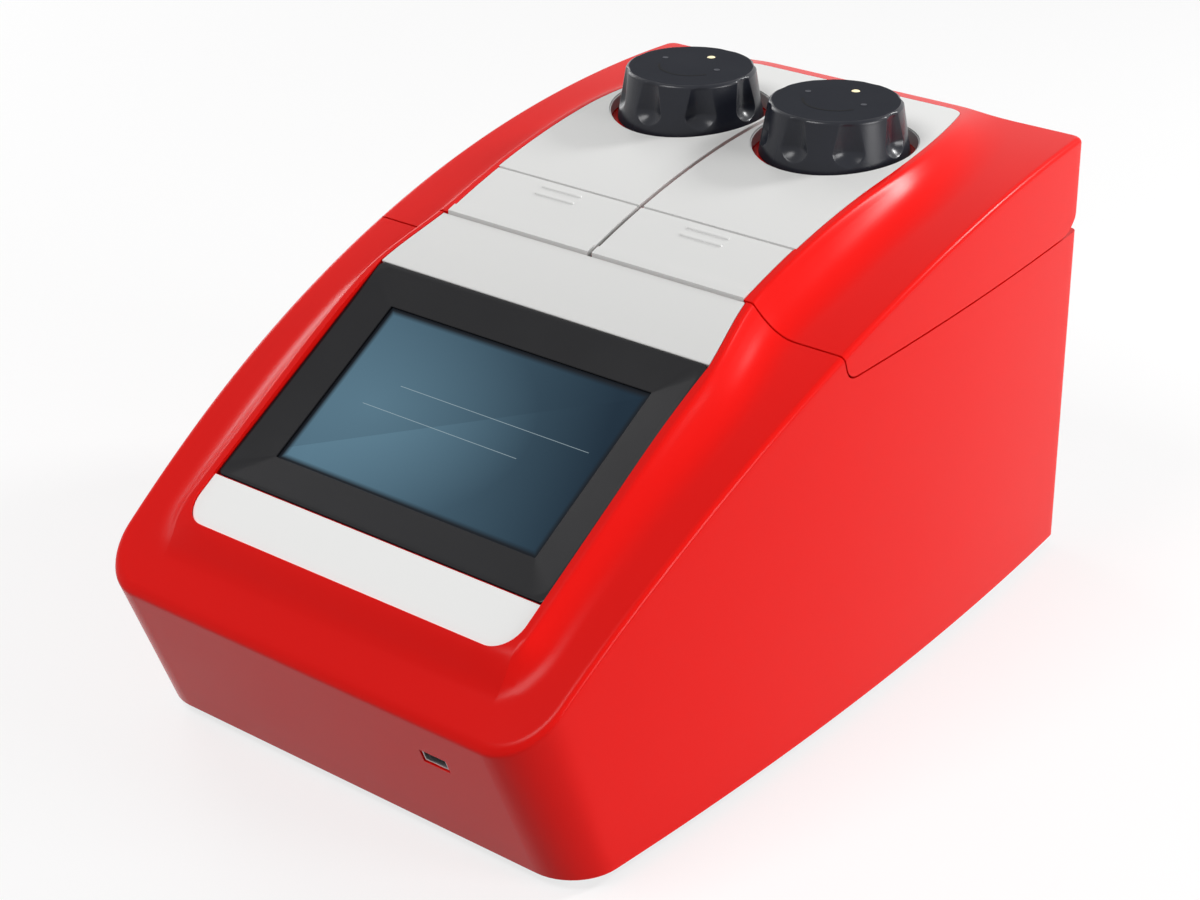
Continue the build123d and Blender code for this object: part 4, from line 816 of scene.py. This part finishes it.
# Lid panels
# Light grey inset covers, one in each lid, with a satin moulded face, softly broken edges and a round
# opening with a thin sleeve, through which the knob stands in its well.
light_grey = moulded("grey_panel", (0.71, 0.71, 0.70), 0.34, grain=0.000012, spread=0.015,
                     Specular_IOR_Level=0.3)
cover_edge = 0.6
sleeve_outer, sleeve_inner = well_radius - 0.05, well_radius - 0.7
sleeve_low, sleeve_high = well_floor_z + 0.4, crest_z + 5
sleeve_sink = 0.6
for side, name in ((1, "right"), (-1, "left")):
    cover = crosswise(f"panel_{name}", plateau_band(panel_front_y - 5, rear_y, 0, cover_thickness, 48), side)
    combine(cover, upright("panel_plan", panel_outline(side, 0)), "INTERSECT")
    combine(cover, upright("knob_opening", ring_outline(side * knob_x, knob_y, well_radius)))
    soften(cover, cover_edge, 3)
    sleeve_plan = ring_outline(side * knob_x, knob_y, sleeve_outer)
    sleeve = prism("sleeve", sleeve_plan, "Z", sleeve_low, sleeve_high)
    combine(sleeve, upright("sleeve_bore", ring_outline(side * knob_x, knob_y, sleeve_inner)))
    under = plateau_band(panel_front_y - 5, rear_y, sleeve_sink, cup_height)
    combine(sleeve, crosswise("under", under, side), "INTERSECT")
    combine(cover, sleeve, "UNION")
    finish(cover, f"lid_{name}", light_grey, f"lid_panel_{name}", slot="grey_panel")


# Latch flaps
# A moulded grip in front of each panel. Its front lip stands up a little, two ribs mark where the
# finger goes, and its hook reaches through the lid to the striker. It turns on a steel pin.
flap_front_y, flap_back_y = rear_y - 236.9, rear_y - 198.2
flap_edge = 0.7
lip_length, lip_rise = 5.0, 0.9
rib_places = (rear_y - 202.2, rear_y - 208.0)
rib_half_length, rib_width, rib_rise = 12.5, 1.6, 0.6
lug_spread, lug_half_width, lug_radius = 30.0, 3.8, 2.5
pin_bore_radius = 1.4
hook_half_width, hook_half_thickness = 8.0, 1.75
hook_foot_z = base_z + 175.6
for side, name in ((1, "right"), (-1, "left")):
    start, end = sorted((side * (inner_x + fit_gap), side * flap_outer_x))
    flap_side = plateau_band(flap_front_y, flap_back_y, 0, cover_thickness, 12)
    flap = prism(f"flap_{name}", flap_side, "X", start, end)
    lip_side = plateau_band(flap_front_y, flap_front_y + lip_length, -lip_rise, cover_thickness, 2)
    combine(flap, prism("lip", lip_side, "X", start, end), "UNION")
    for lug_x in (side * knob_x - lug_spread, side * knob_x + lug_spread):
        low = (lug_x - lug_half_width, pin_y - lug_radius, pin_z - lug_radius)
        high = (lug_x + lug_half_width, pin_y + lug_radius, plateau_z(pin_y) - cover_thickness / 2)
        combine(flap, block("lug", low, high), "UNION")
    pin_bore = ring_outline(pin_y, pin_z, pin_bore_radius, 24)
    combine(flap, prism("pin_bore", pin_bore, "X", side * knob_x - ear_spread, side * knob_x + ear_spread))
    hook_top_z = plateau_z(hook_y) - cover_thickness / 2
    low = (side * knob_x - hook_half_width, hook_y - hook_half_thickness, hook_foot_z)
    high = (side * knob_x + hook_half_width, hook_y + hook_half_thickness, hook_top_z)
    combine(flap, block("hook", low, high), "UNION")
    soften(flap, flap_edge, 3)
    for rib_y in rib_places:
        rib_side = plateau_band(rib_y - rib_width, rib_y, -rib_rise, cover_thickness / 2, 2)
        rib = prism("rib", rib_side, "X", side * knob_x - rib_half_length, side * knob_x + rib_half_length)
        soften(rib, edge_round, 3)
        combine(flap, rib, "UNION")
    finish(flap, f"latch_{name}", light_grey, f"latch_flap_{name}", slot="grey_panel")


# Front band
# The fixed light grey cover between the latch flaps and the screen. It is let into the housing, widens
# to the front as the rim does, and its front edge follows the bezel.
band = crosswise("band", plateau_band(band_front_y, band_back_y, 0, cover_thickness, 12))
combine(band, upright("band_plan", band_outline(0)), "INTERSECT")
combine(band, bezel_room("bezel_room"))
soften(band, cover_edge, 3)
finish(band, "base", light_grey, "front_band", slot="grey_panel")


# Front plate
# The bare light grey plate below the screen, sunk a little into the housing, with round lower corners.
# The plate's grey is painted lighter than the panels' grey: painted light that stands in for the stronger
# light falling on the front slope.
plate_grey_painted_light = moulded("plate_grey_painted_light", (0.92, 0.92, 0.91), 0.3, grain=0.00001, spread=0.01,
                      Specular_IOR_Level=0.3)
plate_foot = plate_sink + cover_thickness
plate = crosswise("plate", plateau_band(plate_front_y, plate_back_y, plate_sink, plate_foot, 2))
combine(plate, upright("plate_plan", plate_outline(0)), "INTERSECT")
soften(plate, cover_edge, 3)
finish(plate, "base", plate_grey_painted_light, "front_plate", slot="grey_panel")


# Screen bezel
# A satin black frame. Inside a narrow flat rim its four faces slope down to the glass and meet in
# mitres that run from round outer corners to sharp inner ones.
bezel_black = moulded("bezel_black", (0.006, 0.006, 0.0075), 0.25, grain=0.000008, grain_scale=2600.0,
                      Specular_IOR_Level=0.22)
window_half_width = 80.3
window_half_length = 48.05
bezel_half_length = bezel_length / 2
bezel_rings = (
    (0.0, 3.0, -bezel_thickness),
    (0.0, 3.0, -0.6),
    (0.1, 2.9, -0.3),
    (0.3, 2.7, -0.1),
    (0.6, 2.4, 0.0),
    (1.8, 7.0, 0.0),
    (2.2, 6.8, -0.06),
)
window_rings = ((0.3, 0.5, -3.52), (0.0, 0.4, -3.8), (0.0, 0.4, -bezel_thickness))


def rounded_ring(half_width, half_length, radius, height, count=12):
    """A rounded rectangle on the bezel's face."""
    ring = []
    corners = ((1, 1, 0), (-1, 1, 90), (-1, -1, 180), (1, -1, 270))
    for side_across, side_up, first in corners:
        centre = (side_across * (half_width - radius), side_up * (half_length - radius))
        ring += [on_bezel(*point, height) for point in arc(centre, radius, first, first + 90, count)]
    return ring


rings = []
for inset, radius, height in bezel_rings:
    rings.append(rounded_ring(bezel_half_width - inset, bezel_half_length - inset, radius, height))
for grow, radius, height in window_rings:
    rings.append(rounded_ring(window_half_width + grow, window_half_length + grow, radius, height))
points = [point for ring in rings for point in ring]
bezel = build("bezel", points, ring_faces(len(rings), len(rings[0]), closed=True))
finish(bezel, "base", bezel_black, "display_bezel", angle=7, slot="bezel_black")


# Screen
# A lit touch panel behind smooth glass. It shows a plain blue-grey wash that darkens to the right, a
# soft dark margin and two fine lines.
glass, shader, place = new_material("screen_glass", (0.01, 0.012, 0.015), 0.08, Specular_IOR_Level=0.05,
                                    Emission_Strength=1.0)
glass_thickness = 2.0
glow_x, glow_up, glow_stretch, glow_reach = -52.0, -4.0, 0.45, 62.0
shade_x, shade_up, shade_tilt, shade_share = 10.0, 8.0, 0.55, 0.22
line_places = ((9.5, -45, 70), (-5.5, -58, 38))
line_half, line_share = 0.16, 0.55
margin, margin_blur = 1.2, 2.6
across, depth, rise = (part / MM for part in place.axes())
up = (depth - bezel_middle_y) * cos(bezel_slope) + (rise - bezel_middle_z) * sin(bezel_slope)
side_share = (across + window_half_width) / (2 * window_half_width)
wash = side_share + 0.1 * (up / window_half_length)
picture = wash.blend((0.075, 0.155, 0.215), (0.004, 0.018, 0.034))
glow_across, glow_along = across - glow_x, up - glow_up
glow_square = glow_across * glow_across * glow_stretch + glow_along * glow_along
glow_fall = 1 - glow_square.math("SQRT", glow_square) / glow_reach
glow = glow_fall.math("MAXIMUM", glow_fall, 0.0) * 0.5
picture = glow.blend(picture, (0.15, 0.29, 0.38))
shade_side = ((up - shade_up) - (across - shade_x) * shade_tilt) > 0
picture = (shade_side * shade_share).blend(picture, (0.01, 0.03, 0.05))
for line_up, from_x, to_x in line_places:
    fade = 1 - abs((across - (from_x + to_x) / 2) / ((to_x - from_x) / 2))
    near = (abs(up - line_up) < line_half) * (fade > 0) * line_share
    picture = near.blend(picture, (0.42, 0.52, 0.56))
edge_x = (window_half_width - margin - abs(across)) / margin_blur
edge_up = (window_half_length - margin - abs(up)) / margin_blur
edge = edge_x.math("MINIMUM", edge_x, edge_up)
edge = edge.math("MINIMUM", edge.math("MAXIMUM", edge, 0.0), 1.0)
picture = edge.blend((0.003, 0.004, 0.006), picture)
feed(glass, shader, "Emission Color", picture)
glass_foot = -bezel_thickness - glass_thickness
screen = slanted_box("touch_glass", glass_half_width, glass_half_length, glass_foot, -bezel_thickness)
soften(screen, 0.3)
finish(screen, "base", glass, "touch_panel", slot="screen_glass")


# Knobs
# Two big satin knobs that press the heated plates down. Eight finger scallops run up each tapered
# side and out through its rounded top edge, and the top carries a fine turning mark.
knob_dark = moulded("knob_dark", (0.012, 0.0135, 0.020), 0.25, grain=0.000012, grain_scale=1500.0,
                    Specular_IOR_Level=0.3)
knob_top = moulded("knob_top", (0.013, 0.0145, 0.020), 0.6, grain=0.00002, grain_scale=1500.0,
                   Specular_IOR_Level=0.04)
mark_grey = moulded("mark_grey", (0.05, 0.053, 0.065), 0.5, Specular_IOR_Level=0.2)
mark_black = moulded("mark_black", (0.004, 0.004, 0.005), 0.5, Specular_IOR_Level=0.04)
skirt_radius = (knob_high.x - knob_low.x) / 2 / MM
knob_height = knob_top_z - knob_bottom_z
knob_top_radius = 33.6
top_edge = 2.2
top_edge_steps = 8
top_rings = ((0.8, 0.2), (1.8, 0.05), (3.2, 0.0), (5.0, 0.0), (12.0, 0.0), (20.0, 0.0))
bore_depth = 14.0
foot_round, foot_slope = 0.3, 0.43
scallops = 8
scallop_depth, scallop_depth_top = 3.7, 0.9
scallop_half, scallop_half_top = 8.0, 4.4
scallop_widest, scallop_foot = 12.0, 5.5
scallop_edge = 0.13
inside_columns = (0, 0.14, 0.28, 0.42, 0.56, 0.68, 0.78, 0.86, 0.92, 0.96, 1.0)
outside_columns = (0.04, 0.1, 0.2, 0.35, 0.55, 0.8)
side_rows = [0.25, 0.7] + [1.6 + 0.62 * row for row in range(38)]
side_rows = [height for height in side_rows if height < knob_height - top_edge - 0.2]
mark_inner, mark_outer, mark_start, mark_end = 15.9, 17.1, 205, 335
mark_sink, mark_rise = 0.1, 0.06
dot_places = ((18.9, 172.0), (15.2, 8.5))
dot_radius, dot_eye_radius, dot_rise, dot_eye_rise = 1.5, 1.0, 0.15, 0.05
lamp_y = knob_y + 17.6
lamp_seat_radius, lamp_seat_depth = 2.3, 2.0


def scallop(height):
    """Half-width and depth of a scallop at a height, and how far below its widest place it lies."""
    share = min(1.0, max(0.0, (height - scallop_widest) / (knob_height - scallop_widest)))
    half = scallop_half + (scallop_half_top - scallop_half) * share
    depth = scallop_depth + (scallop_depth_top - scallop_depth) * share
    below = max(0.0, (scallop_widest - height) / (scallop_widest - scallop_foot))
    return half, depth, below


def knob_ring(radius, height, pull=1.0):
    """One round of the knob's side, drawn in where the scallops are."""
    half, depth, below = scallop(height)
    width = max(half * sqrt(max(0.0, 1 - below**2)), 1.5)
    sector = 2 * pi / scallops
    offsets = [share * width for share in inside_columns]
    reach = radius * sector / 2
    offsets += [width + (reach - width) * share for share in outside_columns]
    ring = []
    for number in range(scallops):
        middle = number * sector
        for along in [-offset for offset in reversed(offsets[1:])] + offsets + [reach]:
            raw = depth * (1 - (along / half) ** 2 - below**2)
            cut = scallop_edge * log(1 + exp(min(raw / scallop_edge, 60))) if raw > -4 else 0.0
            if raw / scallop_edge > 50:
                cut = raw
            angle = middle + along / radius
            ring.append(((radius - pull * cut) * cos(angle), (radius - pull * cut) * sin(angle), height))
    return ring


def knob_rings():
    """The knob's rounds: up its bore, out under it, up the side, over the edge and in on the top."""
    rings = [knob_ring(bore_radius, bore_depth, 0), knob_ring(bore_radius, 0.0, 0)]
    rings.append(knob_ring(skirt_radius - 2 * foot_round, 0.0, 0))
    for height in side_rows:
        radius = skirt_radius + (knob_top_radius - skirt_radius) * height / knob_height
        rings.append(knob_ring(radius - max(0.0, foot_round - height * foot_slope), height))
    edge_radius = knob_top_radius + (skirt_radius - knob_top_radius) * top_edge / knob_height - top_edge
    for step in range(top_edge_steps + 1):
        angle = pi / 2 * step / top_edge_steps
        height = knob_height - top_edge + top_edge * sin(angle)
        rings.append(knob_ring(edge_radius + top_edge * cos(angle), height, 1 - 0.6 * step / top_edge_steps))
    for inset, pull in top_rings:
        rings.append(knob_ring(edge_radius - inset, knob_height, pull))
    return rings


rings = knob_rings()
around = len(rings[0])
for side, name in ((1, "right"), (-1, "left")):
    centre = Vector((side * knob_x, knob_y, knob_bottom_z))
    points = [tuple(centre + Vector(point)) for ring in rings for point in ring]
    faces = ring_faces(len(rings), around)
    faces.append(tuple(range(around)))
    faces.append(tuple(range((len(rings) - 1) * around, len(rings) * around)))
    knob = build(f"knob_body_{name}", points, faces)
    lamp_seat = ring_outline(side * knob_x, lamp_y, lamp_seat_radius, 32)
    low, high = knob_top_z - lamp_seat_depth, knob_top_z + lamp_seat_depth
    combine(knob, prism("lamp_seat", lamp_seat, "Z", low, high))
    finish(knob, f"knob_{name}", knob_dark, f"knob_{name}", angle=35, slot="knob_dark")
    knob.data.materials.append(knob_top)
    for face in knob.data.polygons:
        if face.normal.z > 0.98 and face.center.z > (knob_top_z - mark_sink) * MM:
            face.material_index = 1
    outer = arc((side * knob_x, knob_y), mark_outer, mark_start, mark_end, 40)
    inner = arc((side * knob_x, knob_y), mark_inner, mark_end, mark_start, 40)
    mark = prism(f"turn_mark_{name}", outer + inner, "Z", knob_top_z - mark_sink, knob_top_z + mark_rise)
    finish(mark, f"knob_{name}", mark_black, slot="knob_dark")
    dots = []
    for radius, turned in dot_places:
        angle = radians(turned)
        spot = (side * knob_x + radius * cos(angle), knob_y + radius * sin(angle))
        rim = ring_outline(*spot, dot_radius, 24)
        dot = prism("dot", rim, "Z", knob_top_z - mark_sink, knob_top_z + dot_rise)
        eye = ring_outline(*spot, dot_eye_radius, 24)
        combine(dot, prism("dot_eye", eye, "Z", knob_top_z + dot_eye_rise, knob_top_z + 1))
        dots.append(dot)
    combine(dots[0], dots[1], "UNION")
    dots[0].name = f"turn_dots_{name}"
    finish(dots[0], f"knob_{name}", mark_grey, slot="knob_dark")


# Knob lamps
# A small domed lens in the top of each knob, lit from behind.
lamp_cream, shader, place = new_material("lamp_cream", (0.85, 0.74, 0.45), 0.25, Emission_Strength=0.35)
feed(lamp_cream, shader, "Emission Color", place.noise(300.0).blend((0.9, 0.75, 0.4), (1.0, 0.9, 0.6)))
lens_radius, lens_rise, lens_sink = 2.2, 0.55, 0.25
for side, name in ((1, "right"), (-1, "left")):
    bpy.ops.object.select_all(action="DESELECT")
    bpy.ops.mesh.primitive_uv_sphere_add(segments=32, ring_count=16, radius=1, location=(0, 0, 0))
    lens = bpy.context.object
    lens.name = f"lamp_lens_{name}"
    lens.location = Vector((side * knob_x, lamp_y, knob_top_z - lens_sink)) * MM
    lens.scale = (lens_radius * MM, lens_radius * MM, lens_rise * MM)
    bpy.ops.object.transform_apply(location=True, rotation=True, scale=True)
    finish(lens, f"knob_{name}", lamp_cream, f"knob_lamp_{name}", angle=60, slot="lamp_cream")


# Sample blocks
# Bare anodised aluminium under each lid, with a flange round the foot and forty-eight drilled wells
# whose cones hold the sample tubes.
aluminium, shader, place = new_material("aluminium", (0.72, 0.73, 0.75), 0.34, Metallic=1.0)
streak = place.node("ShaderNodeMapping", Vector=place, Scale=(40.0, 2.0, 40.0))
feed(aluminium, shader, "Roughness", 0.28 + 0.14 * streak.noise(60.0, 3.0))
bump(aluminium, shader, place.noise(2600.0), 0.000008)
block_top_z, flange_top_z, block_low_z = 182.0, 160.0, 156.0
block_half, flange_half = (31.5, 40.5), (35.0, 44.0)
block_steps = (
    (*block_half, block_top_z),
    (*block_half, flange_top_z),
    (*flange_half, flange_top_z),
    (*flange_half, block_low_z),
)
pitch, columns, rows = 9.0, 6, 8
well_mouth, well_chamfer, well_foot, well_depth = 2.9, 0.45, 1.2, 15.0
well_rings = ((well_mouth + well_chamfer, 0), (well_mouth, well_chamfer), (well_foot, well_depth))
well_sides = 24
well_angles = [2 * pi * k / well_sides + pi / 4 for k in range(well_sides)]


def well_cell(x, y, start):
    """Points and faces of one square of the block's top with its well, for points from a number on."""
    points = []
    for angle in well_angles:
        reach = pitch / 2 / max(abs(cos(angle)), abs(sin(angle)))
        points.append((x + reach * cos(angle), y + reach * sin(angle), block_top_z))
    for radius, depth in well_rings:
        height = block_top_z - depth
        points += [(x + radius * cos(angle), y + radius * sin(angle), height) for angle in well_angles]
    faces = ring_faces(4, well_sides, start=start)
    faces.append(tuple(range(start + 3 * well_sides, start + 4 * well_sides)))
    return points, faces


for side, name in ((1, "right"), (-1, "left")):
    points, faces = [], []
    for column in range(columns):
        for row in range(rows):
            x = side * knob_x + (column - (columns - 1) / 2) * pitch
            y = knob_y + (row - (rows - 1) / 2) * pitch
            more_points, more_faces = well_cell(x, y, len(points))
            points += more_points
            faces += more_faces
    block_top = build(f"well_field_{name}", points, faces)
    edit = bmesh.new()
    edit.from_mesh(block_top.data)
    rim = [edge for edge in edit.edges if edge.is_boundary]
    centre = Vector((side * knob_x * MM, knob_y * MM, 0))
    for half_x, half_y, z in block_steps:
        made = bmesh.ops.extrude_edge_only(edit, edges=rim)["geom"]
        rim = [item for item in made if isinstance(item, bmesh.types.BMEdge) and item.is_boundary]
        corners = {vert for edge in rim for vert in edge.verts}
        for vert in corners:
            vert.co.z = z * MM
        old_x = max(abs(vert.co.x - centre.x) for vert in corners)
        old_y = max(abs(vert.co.y - centre.y) for vert in corners)
        for vert in corners:
            vert.co.x = centre.x + (vert.co.x - centre.x) * half_x * MM / old_x
            vert.co.y = centre.y + (vert.co.y - centre.y) * half_y * MM / old_y
    bmesh.ops.holes_fill(edit, edges=rim, sides=0)
    bmesh.ops.recalc_face_normals(edit, faces=edit.faces)
    edit.to_mesh(block_top.data)
    edit.free()
    finish(block_top, "base", aluminium, f"sample_block_{name}", angle=30, slot="aluminium")


# Feet
# Four soft rubber discs under the base.
rubber = moulded("rubber_black", (0.022, 0.022, 0.022), 0.75, grain=0.00003, grain_scale=900.0)
foot_radius, foot_height, foot_edge = 10.8, 6.0, 1.0
foot_places = [(x, rear_y - setback) for x in (-100, 100) for setback in (40, 388)]
feet = None
for x, y in foot_places:
    bpy.ops.object.select_all(action="DESELECT")
    middle = (x * MM, y * MM, foot_height / 2 * MM)
    bpy.ops.mesh.primitive_cylinder_add(vertices=48, radius=foot_radius * MM, depth=foot_height * MM,
                                        location=middle)
    foot = bpy.context.object
    bpy.ops.object.transform_apply(location=True, rotation=True, scale=True)
    soften(foot, foot_edge, 3)
    if feet is None:
        feet = foot
        feet.name = "rubber_feet"
    else:
        foot.select_set(True)
        feet.select_set(True)
        bpy.context.view_layer.objects.active = feet
        bpy.ops.object.join()
finish(feet, "base", rubber, "feet", slot="rubber_black")


# Parts kept from the solids
# Hinges, pins, fans, sheet metal, sockets and boards keep their shapes and get their finishes.
steel, shader, place = new_material("steel", (0.60, 0.60, 0.61), 0.3, Metallic=1.0)
feed(steel, shader, "Roughness", 0.24 + 0.16 * place.noise(160.0, 4.0))
bump(steel, shader, place.noise(3000.0), 0.000006)
zinc_sheet, shader, place = new_material("zinc_sheet", (0.55, 0.56, 0.58), 0.42, Metallic=0.85)
spangle = place.node("ShaderNodeTexVoronoi", output=1, Vector=place, Scale=110.0)
feed(zinc_sheet, shader, "Base Color", spangle.axes()[0].blend((0.53, 0.54, 0.56), (0.57, 0.58, 0.60)))
brass, shader, place = new_material("brass", (0.72, 0.56, 0.28), 0.3, Metallic=1.0)
feed(brass, shader, "Roughness", 0.24 + 0.14 * place.noise(220.0))
board_green, shader, place = new_material("board_green", (0.03, 0.22, 0.10), 0.4)
tracks = place.node("ShaderNodeTexVoronoi", Vector=place, Scale=240.0)
feed(board_green, shader, "Base Color", tracks.blend((0.02, 0.16, 0.07), (0.04, 0.27, 0.13)))
finishes = {
    "steel": steel,
    "zinc_sheet": zinc_sheet,
    "aluminium": aluminium,
    "brass": brass,
    "board_green": board_green,
    "red_gloss": red_gloss,
    "grey_panel": light_grey,
    "bezel_black": bezel_black,
    "rubber_black": rubber,
    "dark_plastic": moulded("dark_plastic", (0.03, 0.03, 0.034), 0.45),
    "liner_grey": moulded("liner_grey", (0.16, 0.17, 0.185), 0.5),
    "ceramic": moulded("ceramic", (0.82, 0.81, 0.77), 0.55, spread=0.04),
    "foam_insulation": moulded("foam_insulation", (0.26, 0.26, 0.26), 0.9, grain=0.0004, grain_scale=1100.0),
    "knob_dark": knob_dark,
    "lamp_cream": lamp_cream,
    "screen_glass": glass,
}
for subpart in frame["record"]["subparts"]:
    node = nodes[subpart["node"]]
    if not node.hide_render:
        node.data.materials.clear()
        node.data.materials.append(finishes[subpart["material_slot"]])
